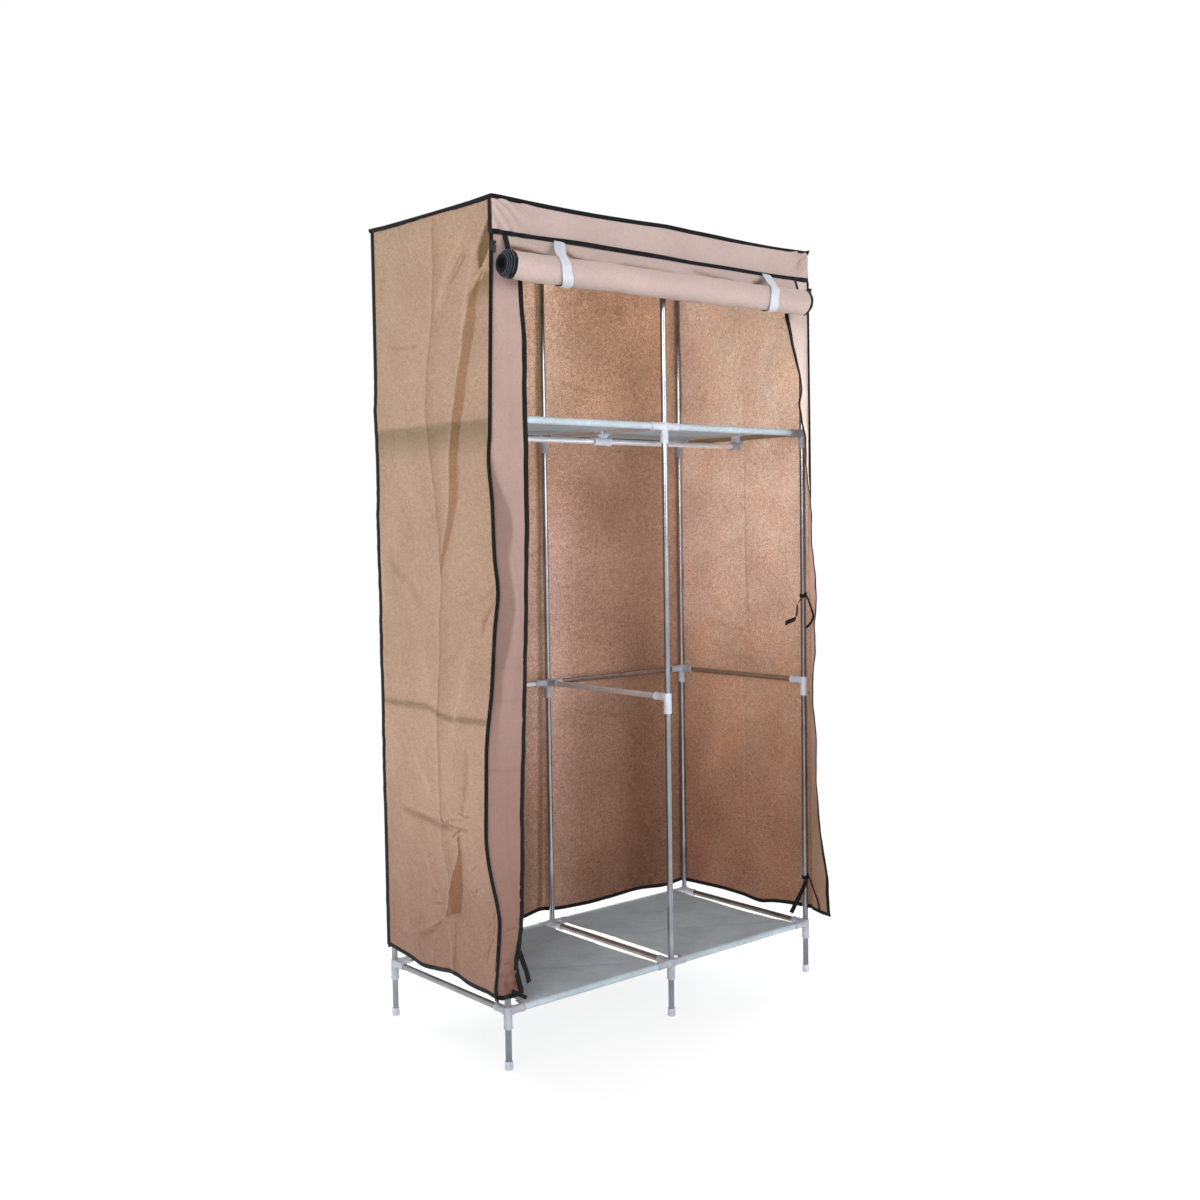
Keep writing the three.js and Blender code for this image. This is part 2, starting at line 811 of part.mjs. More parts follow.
// Pull: an eye round the pin, a narrow neck between the lugs and a tab below them.
function pullBody() {
  const eyeHalf = pullWidth / 2 - lugWidth - runningGap;
  const eyeRadius = pinRadius + runningGap + pullEyeWall;
  const shoulder = lugHeight / 2 + pullNeckGap + eyeRadius / 2;
  const half = pullWidth / 2;
  const outline = [
    [-eyeHalf, 0],
    [eyeHalf, 0],
    [eyeHalf, shoulder],
    [half, shoulder + eyeHalf],
    [half, pullLength - half],
    [half / 2, pullLength],
    [-half / 2, pullLength],
    [-half, pullLength - half],
    [-half, shoulder + eyeHalf],
    [-eyeHalf, shoulder],
  ];
  const eye = solidOf(pointed(bar(eyeRadius, -eyeHalf, eyeHalf), along.right));
  const bore = bar(pinRadius + runningGap, -half, half);
  const tab = slab(outline, -pullThickness / 2, pullThickness / 2);
  return eye.add(tab).subtract(solidOf(pointed(bore, along.right)));
}

for (const side of ["left", "right"]) {
  const shareAt = (height) => (height - hemHeight) / panelHeight;
  const top = cornerPoint(side, shareAt(zipRest));
  const low = cornerPoint(side, shareAt(zipRest - zipTravel));
  const carriage = new THREE.Group();
  carriage.position.set(top.x, 0, top.z);
  carriage.quaternion.setFromUnitVectors(new THREE.Vector3(0, 0, -1), low.sub(top).normalize());
  wardrobe.add(carriage);
  add(`zip_slider_${side}`, geometryOf(sliderBody()), blackMetal, carriage);
  const pull = add(`zip_pull_${side}`, geometryOf(pullBody()), blackMetal, carriage);
  pull.position.set(0, sliderFront - pinOut, -lugHeight / 2);
}

// Front flaps: the left one hangs almost flat, the right one turns outwards below its upper part.
// Each starts with a narrow flat margin beside the tape, where the slider passes.
const flapRoot = tapeThickness / 2 + fitGap;
const flapMargin = sliderHalf + fitGap;
const flapSteps = 6;

function flap(side) {
  const sign = sideSign(side);
  const geometry = sheet(flapSteps, cornerRows, cloth, (u, v) => {
    const corner = cornerPoint(side, v);
    const swing = side === "left" ? 1 : between(rightSwingShares, v);
    const width = side === "left" ? leftFlapWidth * between(leftFlapShares, v) : flapWidth;
    const past = Math.max(0, u * flapSteps - 1) / (flapSteps - 1);
    const margin = THREE.MathUtils.lerp(flapRoot, flapMargin, Math.min(1, u * flapSteps));
    const reach = (width - flapMargin) * past;
    const curl = flapCurl * Math.sin(Math.PI * past) * (1 - v) * Math.min(1, v / curlStartShare);
    const turn = Math.PI * (1 - swing);
    const inward = margin + reach * Math.cos(turn) - curl * Math.sin(turn);
    const forward = reach * Math.sin(turn) + curl * Math.cos(turn);
    return new THREE.Vector3(corner.x - sign * inward, corner.y - forward, corner.z);
  });
  add(`front_flap_${side}`, geometry, coverFabric);
}

flap("left");
flap("right");

// Rolled door: one sheet that hangs from the band, passes behind the roll and winds up inside it
const rollCentre = new THREE.Vector2(-rollForward, rollCentreHeight);
const doorTop = new THREE.Vector2(
  coverFront - cloth / 2 - fitGap - doorCloth / 2,
  bandBottom - fitGap,
);

// The angle, seen along X, at which a line from the point just touches the back of a circle.
function touchAngle(point, radius, turn) {
  const line = point.clone().sub(rollCentre);
  return line.angle() + turn * Math.acos(radius / line.length());
}

function onRoll(radius, angle) {
  const out = new THREE.Vector2(Math.cos(angle), Math.sin(angle));
  return rollCentre.clone().addScaledVector(out, radius);
}

// Gives a path in the YZ plane its thickness and its width along X.
function ribbon(path, thickness, left, right) {
  const offset = (side) =>
    path.map((point, k) => {
      const ahead = path[Math.min(k + 1, path.length - 1)];
      const behind = path[Math.max(k - 1, 0)];
      const heading = ahead.clone().sub(behind).normalize();
      const aside = new THREE.Vector2(-heading.y, heading.x);
      return point.clone().addScaledVector(aside, (side * thickness) / 2);
    });
  const outline = [...offset(1), ...offset(-1).reverse()];
  return lofted([left, right].map((x) => outline.map((p) => [x, p.x, p.y])));
}

function doorRoll() {
  const outer = rollRadius - doorCloth / 2;
  const start = touchAngle(doorTop, outer, -1);
  const path = [doorTop];
  const steps = rollTurns * rollStepsPerTurn;
  for (let k = 0; k <= steps; k++) {
    const radius = THREE.MathUtils.lerp(outer, rollCoreRadius, k / steps);
    path.push(onRoll(radius, start - (2 * Math.PI * k) / rollStepsPerTurn));
  }
  const left = -halfWidth - rollLeftOut;
  const right = halfWidth - rollRightIn;
  add("door_roll", ribbon(path, doorCloth, left, right), coverFabric);
}

doorRoll();

// Strap: from the band over the front of the roll, under it and up behind the hanging cloth.
function rollStrap(side, centre) {
  const radius = rollRadius + fitGap + strapThickness / 2;
  const clear = doorCloth / 2 + fitGap + strapThickness / 2;
  const head = new THREE.Vector2(doorTop.x - clear, doorTop.y);
  const tail = new THREE.Vector2(doorTop.x + clear, doorTop.y);
  const from = touchAngle(head, radius, 1);
  const to = touchAngle(tail, radius, -1) + 2 * Math.PI;
  const path = [head];
  for (let k = 0; k <= strapSteps; k++) {
    path.push(onRoll(radius, THREE.MathUtils.lerp(from, to, k / strapSteps)));
  }
  path.push(onRoll(radius, to).lerp(tail, strapLegShare));
  const left = centre - strapWidth / 2;
  add(`roll_strap_${side}`, ribbon(path, strapThickness, left, left + strapWidth), whiteTape);
}

rollStrap("left", -halfWidth + leftStrapIn);
rollStrap("right", halfWidth - rightStrapIn);

export default wardrobe;
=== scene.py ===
# A portable fabric wardrobe: its visual model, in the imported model's own frame.
# Lengths are millimetres from the front middle upright's foot, and world() turns them into metres.
import math

import bpy
import numpy as np
from mathutils import Matrix, Vector

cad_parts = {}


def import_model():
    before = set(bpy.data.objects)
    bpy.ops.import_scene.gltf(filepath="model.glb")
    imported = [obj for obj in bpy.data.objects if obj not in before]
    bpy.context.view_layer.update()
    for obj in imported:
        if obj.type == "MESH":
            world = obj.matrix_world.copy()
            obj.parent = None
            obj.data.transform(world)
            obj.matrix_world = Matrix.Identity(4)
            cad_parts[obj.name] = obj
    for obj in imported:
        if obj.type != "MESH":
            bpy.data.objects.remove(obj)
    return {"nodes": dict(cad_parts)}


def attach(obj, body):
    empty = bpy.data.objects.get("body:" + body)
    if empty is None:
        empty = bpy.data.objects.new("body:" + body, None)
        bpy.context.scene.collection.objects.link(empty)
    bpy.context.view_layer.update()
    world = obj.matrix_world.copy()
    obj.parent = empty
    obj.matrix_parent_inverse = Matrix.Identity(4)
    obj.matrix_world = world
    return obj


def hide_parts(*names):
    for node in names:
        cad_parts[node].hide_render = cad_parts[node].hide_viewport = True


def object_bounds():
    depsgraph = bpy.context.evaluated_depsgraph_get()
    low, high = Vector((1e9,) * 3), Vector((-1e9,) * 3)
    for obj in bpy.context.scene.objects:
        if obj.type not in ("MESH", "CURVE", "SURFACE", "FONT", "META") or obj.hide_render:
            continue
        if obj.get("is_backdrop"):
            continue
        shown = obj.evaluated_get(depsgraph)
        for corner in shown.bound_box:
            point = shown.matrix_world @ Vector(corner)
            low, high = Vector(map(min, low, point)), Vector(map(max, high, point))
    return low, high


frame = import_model()
cad_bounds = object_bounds()

# The front middle upright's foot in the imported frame.
GAUGE = np.array([11.95, -172.1, 0.0])

HALF_WIDTH = 442.0
DEPTH = 416.0
LEVELS = {"bottom": 117.0, "middle": 699.0, "upper": 1280.0, "top": 1686.0}
ACROSS = {"left": -HALF_WIDTH, "middle": 0.0, "right": HALF_WIDTH}
DEEP = {"front": 0.0, "back": DEPTH}
SIGN = {"left": -1.0, "right": 1.0}
# Where the two bays between the uprights start.
BAYS = {"left": -HALF_WIDTH, "right": 0.0}
TUBE = 6.5
TUBE_WALL = 0.6
SLEEVE_BELOW = 36.0
SLEEVE_ABOVE = 8.5
SOCKET_REACH = 39.0
SOCKET_FLOOR = 12.0
FOOT_FLOOR = 3.2
ROD_DROP = 20.5
CLOTH = 0.6
COVER_OUT = 9.9
TOP_UNDER = 1695.5
BAND_BOTTOM = 1629.5
HEM = 146.0
ROLL_Y = -54.0
ROLL_Z = 1570.5
ROLL_RIGHT = 388.0
ROLL_DIP = 6.5
ROLL_RADIUS = 28.5
ROLL_TURNS = 11.5
ROUND = 28


def world(points):
    return (np.asarray(points, dtype=float) + GAUGE) / 1000.0


def lerp(a, b, share):
    return a + (b - a) * share


def smooth(share):
    share = np.clip(share, 0.0, 1.0)
    return share * share * (3.0 - 2.0 * share)


def hill(distance, width, power=2):
    """1 at a place, and close to 0 past the width on both sides of it."""
    return np.exp(-((distance / width) ** power))


def between(value, low, high, soft):
    """1 between two places, with edges as soft as given."""
    return smooth((high - value) / soft) * smooth((value - low) / soft)


def stack(*parts):
    return np.stack(np.broadcast_arrays(*parts), axis=-1)


def shares(columns, rows):
    """From 0 to 1 across a grid and up it."""
    return np.linspace(0, 1, columns)[None, :], np.linspace(0, 1, rows)[:, None]


def unit(vectors):
    return vectors / np.linalg.norm(vectors, axis=1, keepdims=True)


def square_to(vectors, along):
    """Unit vectors at right angles to the unit vectors along."""
    return unit(vectors - along * (vectors * along).sum(axis=1, keepdims=True))


def run_along(path):
    """How far each point of a path is from its start."""
    return np.concatenate([[0], np.cumsum(np.linalg.norm(np.diff(path, axis=0), axis=1))])


def arc(radius, turn):
    return stack(radius * np.cos(turn), radius * np.sin(turn))


def curve_through(pairs, at):
    """A smooth curve through (place, value) pairs, read at each place."""
    xs, ys = (np.array(v, dtype=float) for v in zip(*sorted(pairs)))
    at = np.clip(np.asarray(at, dtype=float), xs[0], xs[-1])
    slopes = np.gradient(ys, xs)
    k = np.clip(np.searchsorted(xs, at, side="right") - 1, 0, len(xs) - 2)
    step = xs[k + 1] - xs[k]
    t = (at - xs[k]) / step
    rise = (2 * t**3 - 3 * t**2 + 1) * ys[k] + (-2 * t**3 + 3 * t**2) * ys[k + 1]
    bend = (t**3 - 2 * t**2 + t) * slopes[k] + (t**3 - t**2) * slopes[k + 1]
    return rise + bend * step


def ripples(a, b, size, seed, count=9):
    """A smooth random field with waves about size long, mostly between -1 and 1."""
    rng = np.random.default_rng(seed)
    total = np.zeros(np.broadcast(a, b).shape)
    for _ in range(count):
        turn = rng.uniform(0, math.tau)
        length = size * rng.uniform(0.7, 1.5)
        phase = rng.uniform(0, math.tau)
        total += np.sin(math.tau * (a * math.cos(turn) + b * math.sin(turn)) / length + phase)
    return total / math.sqrt(count)


def rippled(surface, a, b, seed, *waves):
    """A surface with a random field for each (height, size), whose seeds follow one another."""
    for number, (height, size) in enumerate(waves):
        surface = surface + height * ripples(a, b, size, seed + number)
    return surface


def line_distance(a, b, line):
    """Signed distance to a polyline, and the share of its length at the nearest point."""
    points = np.array(line, dtype=float)
    legs = points[1:] - points[:-1]
    lengths = np.linalg.norm(legs, axis=1)
    starts = np.concatenate([[0.0], np.cumsum(lengths)])
    best = np.full(a.shape, 1e9)
    signed = np.zeros(a.shape)
    share = np.zeros(a.shape)
    for start, leg, length, before in zip(points, legs, lengths, starts):
        da, db = a - start[0], b - start[1]
        t = np.clip((da * leg[0] + db * leg[1]) / length**2, 0, 1)
        gap = np.hypot(da - t * leg[0], db - t * leg[1])
        side = np.sign(leg[0] * db - leg[1] * da)
        nearer = gap < best
        best = np.where(nearer, gap, best)
        signed = np.where(nearer, gap * np.where(side == 0, 1, side), signed)
        share = np.where(nearer, (before + t * length) / starts[-1], share)
    return signed, share


def line_ends(share, fade):
    """1 along a line, fading to 0 at both its ends."""
    return smooth(np.minimum(share, 1 - share) / fade)


def crease(a, b, line, width, height, fade=0.15):
    """A rounded ridge, or a furrow for a negative height, that fades at its line's ends."""
    gap, share = line_distance(a, b, line)
    return height * hill(gap, width) * line_ends(share, fade)


def creased(surface, a, b, lines, share=1.0):
    """A surface with a crease for each (line, width, height)."""
    for line, width, height in lines:
        surface = surface + share * crease(a, b, line, width, height)
    return surface


def pinched(surface, tint, a, b, lines, dark):
    """Creases with painted shade in their furrows, browner and darker by the share that each millimetre of
    depth takes.
    """
    for line, width, height in lines:
        step = crease(a, b, line, width, height)
        surface = surface + step
        tint *= (1.0 - dark * np.clip(-step, 0, 2))[..., None] ** np.array([0.8, 1.0, 1.2])
    return surface


def blank(field):
    """A tint of 1 for each point of a field."""
    return np.ones(field.shape + (3,))


def darken(tint, amount, drop):
    """Takes shares of red, green and blue from a tint."""
    tint *= 1.0 - amount[..., None] * np.array(drop)


def brighten(tint, amount):
    """Makes a tint brighter by a share, or darker for a negative share."""
    tint *= (1.0 + amount)[..., None]


# Colours and materials


def rgb(red, green, blue):
    def linear(c):
        c /= 255.0
        return c / 12.92 if c <= 0.04045 else ((c + 0.055) / 1.055) ** 2.4

    return (linear(red), linear(green), linear(blue), 1.0)


class Shader:
    """A node tree built by short calls: a material's, or the world's."""

    def __init__(self, name, kind="Material"):
        owners = bpy.data.worlds if kind == "World" else bpy.data.materials
        self.owner = owners.new(name)
        self.owner.use_nodes = True
        self.tree = self.owner.node_tree
        self.tree.nodes.clear()
        self.output = self.tree.nodes.new("ShaderNodeOutput" + kind)
        self.coords = self.tree.nodes.new("ShaderNodeTexCoord")

    def put(self, value, socket):
        if isinstance(value, bpy.types.NodeSocket):
            self.tree.links.new(value, socket)
        else:
            socket.default_value = value

    def node(self, kind, settings=None, **inputs):
        made = self.tree.nodes.new("ShaderNode" + kind)
        for key, value in (settings or {}).items():
            setattr(made, key, value)
        for key, value in inputs.items():
            self.put(value, made.inputs[int(key[2:]) if key.startswith("in") else key.replace("_", " ")])
        return made

    def noise(self, scale, detail=3.0, rough=0.6, vector=None):
        made = self.node("TexNoise", Scale=scale, Detail=detail, Roughness=rough,
                         Vector=vector or self.coords.outputs["Object"])
        return made.outputs["Fac"]

    def dots(self, scale, randomness):
        """The distance from the bonded dots of non-woven cloth."""
        made = self.node("TexVoronoi", {"feature": "F1"}, Scale=scale, Randomness=randomness,
                         Vector=self.coords.outputs["UV"])
        return made.outputs["Distance"]

    def ribs(self, direction, scale):
        made = self.node("TexWave", {"wave_type": "BANDS", "bands_direction": direction}, Scale=scale,
                         Distortion=0.4, Vector=self.coords.outputs["UV"])
        return made.outputs["Fac"]

    def math(self, operation, a, b=0.0):
        return self.node("Math", {"operation": operation}, in0=a, in1=b).outputs[0]

    def weighed(self, *parts):
        """The sum of (value, weight) pairs."""
        total, *others = [self.math("MULTIPLY", value, weight) for value, weight in parts]
        for other in others:
            total = self.math("ADD", total, other)
        return total

    def seen(self):
        """1 where the camera looks straight, by a mirror or through a clear piece."""
        path = self.node("LightPath").outputs
        direct = self.math("MAXIMUM", path["Is Camera Ray"], path["Is Glossy Ray"])
        return self.math("MAXIMUM", direct, path["Is Transmission Ray"])

    def ramp(self, fac, stops):
        made = self.node("ValToRGB", Fac=fac)
        elements = made.color_ramp.elements
        while len(elements) < len(stops):
            elements.new(0.5)
        for element, (place, colour) in zip(elements, stops):
            element.position = place
            element.color = colour
        return made.outputs["Color"]

    def mix(self, fac, a, b, blend="MIX"):
        return self.node("Mix", {"data_type": "RGBA", "blend_type": blend}, in0=fac, in6=a, in7=b).outputs[2]

    def tinted(self, colour):
        """A colour times its mesh's own tint."""
        tint = self.node("Attribute", {"attribute_name": "tint"}).outputs["Color"]
        return self.mix(1.0, colour, tint, "MULTIPLY")

    def bump(self, height, distance, strength=1.0, normal=None):
        made = self.node("Bump", Height=height, Distance=distance, Strength=strength)
        if normal is not None:
            self.put(normal, made.inputs["Normal"])
        return made.outputs["Normal"]

    def blend(self, share, first, second):
        """Two shaders, with a share of the second."""
        return self.node("MixShader", Fac=share, in1=first.outputs[0], in2=second.outputs[0])

    def finish(self, shader):
        self.tree.links.new(shader.outputs[0], self.output.inputs["Surface"])
        return self.owner


def cover_material(name, shades, spread, through, grain, skin=None):
    """Non-woven cloth: mottled fibres, bonded dots, and some light that comes through.

    skin is a darker tint of the outer face, a painted shade, for a face whose tint attribute only colours
    the light inside.
    """
    s = Shader(name)
    fine = s.noise(grain, 4.0, 0.8)
    patch = s.noise(grain * 0.25, 4.0, 0.7)
    cloud = s.noise(9.0, 3.0, 0.5)
    value = s.weighed((fine, 0.7), (patch, 0.2), (cloud, 0.1))
    plain = s.ramp(value, list(zip((0.5 - spread, 0.5, 0.5 + spread), shades)))
    colour = s.tinted(plain)
    reflected = colour if skin is None else s.mix(1.0, plain, skin, "MULTIPLY")
    normal = s.bump(s.dots(420.0, 0.35), 0.00025, 0.6)
    normal = s.bump(s.noise(140.0, 3.0, 0.6), 0.0004, 0.5, normal)
    normal = s.bump(s.noise(24.0, 4.0, 0.55), 0.0016, 0.35, normal)
    body = s.node("BsdfPrincipled", Base_Color=reflected, Roughness=0.86, Normal=normal,
                  Specular_IOR_Level=0.18, Sheen_Weight=0.12, Sheen_Roughness=0.6)
    pale_light = s.node("Gamma", Color=colour, Gamma=0.75).outputs[0]
    light = s.node("BsdfTranslucent", Color=pale_light, Normal=normal)
    return s.finish(s.blend(through, body, light))


def tape_material(name, dark, pale, rough):
    """Woven tape: fine ribs across and along it."""
    s = Shader(name)
    threads = s.math("MULTIPLY", s.ribs("X", 900.0), s.ribs("Y", 900.0))
    worn = s.noise(60.0, 4.0, 0.6)
    colour = s.mix(s.weighed((threads, 0.35), (worn, 0.65)), rgb(*dark), rgb(*pale))
    normal = s.bump(threads, 0.0003, 0.7)
    normal = s.bump(worn, 0.0006, 0.4, normal)
    body = s.node("BsdfPrincipled", Base_Color=colour, Roughness=rough, Normal=normal,
                  Specular_IOR_Level=0.15, Sheen_Weight=0.06)
    return s.finish(body)


def steel_material(name, level, metal=0.92, low_shade=0.7, cast=(0, 3, 9)):
    """Zinc-bright tube: soft spangle, faint draw lines and small marks of darker and paler tone.

    level is its brightness and cast its red, green and blue from there, which the copies vary as painted
    light and shade, and low_shade the share of its colour that a painted shade near the floor leaves.
    """
    s = Shader(name)
    spangle = s.noise(70.0, 3.0, 0.5)
    lines = s.node("Mapping", Vector=s.coords.outputs["UV"], Scale=(3.0, 70.0, 1.0))
    drawn = s.noise(1.0, 1.0, 0.5, lines.outputs[0])
    marks = s.noise(18.0, 4.0, 0.55)
    stops = [(place, rgb(*(level + more + part for part in cast)))
             for place, more in ((0.32, -12), (0.5, 0), (0.68, 12))]
    height = s.node("SeparateXYZ", Vector=s.coords.outputs["Object"]).outputs["Z"]
    low = s.node("MapRange", Value=height, From_Min=0.128, From_Max=0.16, To_Min=low_shade, To_Max=1.0)
    colour = s.mix(1.0, s.ramp(marks, stops), low.outputs[0], "MULTIPLY")
    rough = s.math("ADD", s.weighed((spangle, 0.03), (drawn, 0.02)), 0.15)
    body = s.node("BsdfPrincipled", Base_Color=colour, Roughness=rough, Normal=s.bump(drawn, 0.00003, 0.02),
                  Metallic=metal)
    return s.finish(body)


def plastic_material():
    """Milky moulded plastic: faint flow marks and a satin skin."""
    s = Shader("milky_plastic")
    flow = s.noise(38.0, 4.0, 0.6)
    grain = s.noise(700.0, 2.0, 0.5)
    stops = [(0.3, rgb(156, 158, 167)), (0.6, rgb(173, 175, 184)), (0.8, rgb(186, 188, 196))]
    colour = s.tinted(s.ramp(flow, stops))
    rough = s.math("ADD", s.math("MULTIPLY", flow, 0.15), 0.32)
    normal = s.bump(grain, 0.0001, 0.5)
    normal = s.bump(flow, 0.0006, 0.35, normal)
    body = s.node("BsdfPrincipled", Base_Color=colour, Roughness=rough, Normal=normal,
                  Subsurface_Weight=0.25, Subsurface_Radius=(0.004, 0.004, 0.005), Subsurface_Scale=1.0)
    return s.finish(body)


def shelf_material():
    """Thin pale non-woven cloth with a cool sheen."""
    s = Shader("shelf_cloth")
    fine = s.noise(260.0, 4.0, 0.7)
    patch = s.noise(45.0, 4.0, 0.6)
    stops = [(0.3, rgb(160, 174, 182)), (0.5, rgb(175, 189, 197)), (0.7, rgb(190, 203, 210))]
    colour = s.tinted(s.ramp(s.weighed((fine, 0.5), (patch, 0.5)), stops))
    normal = s.bump(s.dots(480.0, 0.2), 0.0002, 0.6)
    normal = s.bump(s.noise(30.0, 4.0, 0.55), 0.0012, 0.3, normal)
    body = s.node("BsdfPrincipled", Base_Color=colour, Roughness=0.62, Normal=normal, Sheen_Weight=0.15)
    light = s.node("BsdfTranslucent", Color=colour, Normal=normal)
    return s.finish(s.blend(0.2, body, light))


def enamel_material():
    """Black enamelled metal of the zip sliders, rubbed a little at random."""
    s = Shader("black_enamel")
    rub = s.noise(220.0, 4.0, 0.7)
    colour = s.ramp(rub, [(0.4, rgb(22, 22, 25)), (0.62, rgb(34, 34, 38)), (0.8, rgb(92, 92, 96))])
    rough = s.math("ADD", s.math("MULTIPLY", rub, 0.3), 0.2)
    return s.finish(s.node("BsdfPrincipled", Base_Color=colour, Roughness=rough, Metallic=0.5))


OUTER_SHADES = (rgb(155, 125, 103), rgb(180, 149, 126), rgb(200, 170, 146))
FRONT_SHADES = (rgb(181, 159, 152), rgb(196, 175, 168), rgb(208, 189, 183))
INNER_SHADES = (rgb(160, 136, 119), rgb(194, 170, 153), rgb(228, 206, 191))
OUTSIDE = cover_material("cover_cloth_outside", OUTER_SHADES, 0.13, 0.3, 380.0)
FRONT = cover_material("cover_cloth_front", FRONT_SHADES, 0.2, 0.25, 380.0)
INSIDE = cover_material("cover_cloth_inside", INNER_SHADES, 0.09, 0.45, 350.0)
# The right side's outer face lets more light through, and its skin darkens it: a painted shade against the
# strong right lamp.
SUNNY = cover_material("cover_cloth_sunny", INNER_SHADES, 0.11, 0.72, 300.0, (0.72, 0.63, 0.55, 1.0))
BLACK = tape_material("black_tape", (2, 2, 4), (13, 13, 18), 0.8)
WHITE = tape_material("white_tape", (187, 190, 198), (211, 213, 220), 0.7)
# Paler strips at the door roll's tape edges: a painted highlight.
TAPE_GLINT = tape_material("tape_edge", (66, 72, 86), (88, 95, 112), 0.6)
SHELF_HEM = tape_material("shelf_hem", (168, 178, 174), (190, 198, 195), 0.7)
# Lit and shaded copies of one zinc steel, whose brightness and cast are painted light and shade: the front
# uprights' is darker, a painted shade; the rails' is paler and the rod's paler still, a painted light and a
# painted highlight; the shade, dim, brown and warm ones are painted shade, the last three also a painted
# reflection of the brown cloth round them.
STEEL = steel_material("zinc_steel", 164)
STEEL_FRONT = steel_material("zinc_steel_front", 149)
STEEL_RAIL = steel_material("zinc_steel_rail", 204, 0.62, 0.42)
STEEL_ROD = steel_material("zinc_steel_rod", 240, 0.5)
STEEL_SHADE = steel_material("zinc_steel_shade", 140)
DIM_SHADED_STEEL = steel_material("zinc_dim_shaded_steel", 156, 0.8, cast=(12, 4, -15))
BROWN_SHADED_STEEL = steel_material("zinc_brown_shaded_steel", 104, 0.62, 1.0, (2, -7, -14))
WARM_SHADED_STEEL = steel_material("zinc_warm_shaded_steel", 144, 0.62, 1.0, (2, -6, -12))
PLASTIC = plastic_material()
SHELF = shelf_material()
ENAMEL = enamel_material()
# The rails given darker steel than the others: painted shade, and on the brown and warm ones a painted
# reflection of the brown cloths they lie between.
SHADED_RAILS = {
    "middle_side_right": DIM_SHADED_STEEL,
    "middle_back_right": STEEL,
    "upper_side_right": DIM_SHADED_STEEL,
    "bottom_side_middle": WARM_SHADED_STEEL,
    "bottom_side_right": BROWN_SHADED_STEEL,
}


# Meshes


def piece(name, points, faces, material, slot, body="frame", nodes=(), uv=None, tint=None, angle=35.0):
    """A finished mesh object that rides on a body and stands for nodes."""
    mesh = bpy.data.meshes.new(name)
    mesh.from_pydata(world(points).tolist(), [], [list(map(int, f)) for f in faces])
    if uv is not None:
        layer = mesh.uv_layers.new(name="cut")
        corners = np.empty(len(mesh.loops), dtype=np.int32)
        mesh.loops.foreach_get("vertex_index", corners)
        layer.data.foreach_set("uv", np.asarray(uv, dtype=np.float32)[corners].ravel())
    if tint is not None:
        colours = mesh.color_attributes.new("tint", "FLOAT_COLOR", "POINT")
        data = np.ones((len(points), 4), dtype=np.float32)
        data[:, :3] = tint
        colours.data.foreach_set("color", data.ravel())
    mesh.materials.append(material)
    mesh.shade_smooth()
    mesh.set_sharp_from_angle(angle=math.radians(angle))
    mesh.update()
    made = bpy.data.objects.new(name, mesh)
    bpy.context.scene.collection.objects.link(made)
    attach(made, body)
    if nodes:
        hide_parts(*nodes)
    return made


def loft(rings, wrap=False):
    """Points and faces through equal closed rings, capped at both ends unless the rings wrap round."""
    rings = np.asarray(rings, dtype=float)
    count, size = rings.shape[:2]
    index = np.arange(count * size).reshape(count, size)
    if wrap:
        index = np.vstack([index, index[:1]])
    a, b = index[:-1], index[1:]
    faces = stack(a, np.roll(a, -1, 1), np.roll(b, -1, 1), b).reshape(-1, 4).tolist()
    if not wrap:
        faces += [index[0][::-1].tolist(), index[-1].tolist()]
    return rings.reshape(-1, 3), faces


def lathe_uv(profile, sides=ROUND):
    """Along and round a turned shape, in metres, for its points in order."""
    heights = np.repeat([z / 1000.0 for _, z in profile], sides)
    rounds = np.tile(np.arange(sides) * math.tau * TUBE / sides / 1000.0, len(profile))
    return stack(heights, rounds)


def lathe(profile, sides=ROUND, wrap=False):
    """A turned shape about Z from (radius, height) pairs: solid, or a ring that wraps."""
    turn = np.linspace(0, math.tau, sides, endpoint=False)
    return loft([stack(r * np.cos(turn), r * np.sin(turn), z) for r, z in profile], wrap)


def pipe(length):
    """An open tube along Z."""
    inner = TUBE - TUBE_WALL
    lip = 0.15
    profile = [(TUBE - lip, 0), (TUBE, lip), (TUBE, length - lip), (TUBE - lip, length), (inner, length),
               (inner, 0)]
    points, faces = lathe(profile, wrap=True)
    return points, faces, lathe_uv(profile)


TURNS = {
    "right": Matrix.Rotation(math.pi / 2, 3, "Y"),
    "left": Matrix.Rotation(-math.pi / 2, 3, "Y"),
    "back": Matrix.Rotation(-math.pi / 2, 3, "X"),
}


def aimed(shape, direction, place=(0.0, 0.0, 0.0)):
    """Points and faces made along Z, turned to a direction and moved to a place."""
    return np.asarray(shape[0]) @ np.array(TURNS[direction]).T + np.array(place), shape[1]


def carve(first, steps):
    """first after each (operation, shape), as points and faces: exact unions and cuts."""
    made = []

    def temporary(shape):
        mesh = bpy.data.meshes.new("carving")
        mesh.from_pydata(np.asarray(shape[0]).tolist(), [], shape[1])
        obj = bpy.data.objects.new("carving", mesh)
        bpy.context.scene.collection.objects.link(obj)
        made.append(obj)
        return obj

    base = temporary(first)
    for operation, shape in steps:
        modifier = base.modifiers.new("step", "BOOLEAN")
        modifier.operation = operation
        modifier.solver = "EXACT"
        modifier.object = temporary(shape)
    carved = base.evaluated_get(bpy.context.evaluated_depsgraph_get())
    result = carved.to_mesh()
    points = np.array([v.co[:] for v in result.vertices])
    faces = [list(p.vertices) for p in result.polygons]
    carved.to_mesh_clear()
    for obj in made:
        mesh = obj.data
        bpy.data.objects.remove(obj)
        bpy.data.meshes.remove(mesh)
    return points, faces


def lengths_along(grid, axis):
    steps = np.linalg.norm(np.diff(grid, axis=axis), axis=2)
    start = np.zeros_like(np.take(steps, [0], axis=axis))
    return np.cumsum(np.concatenate([start, steps], axis=axis), axis=axis)


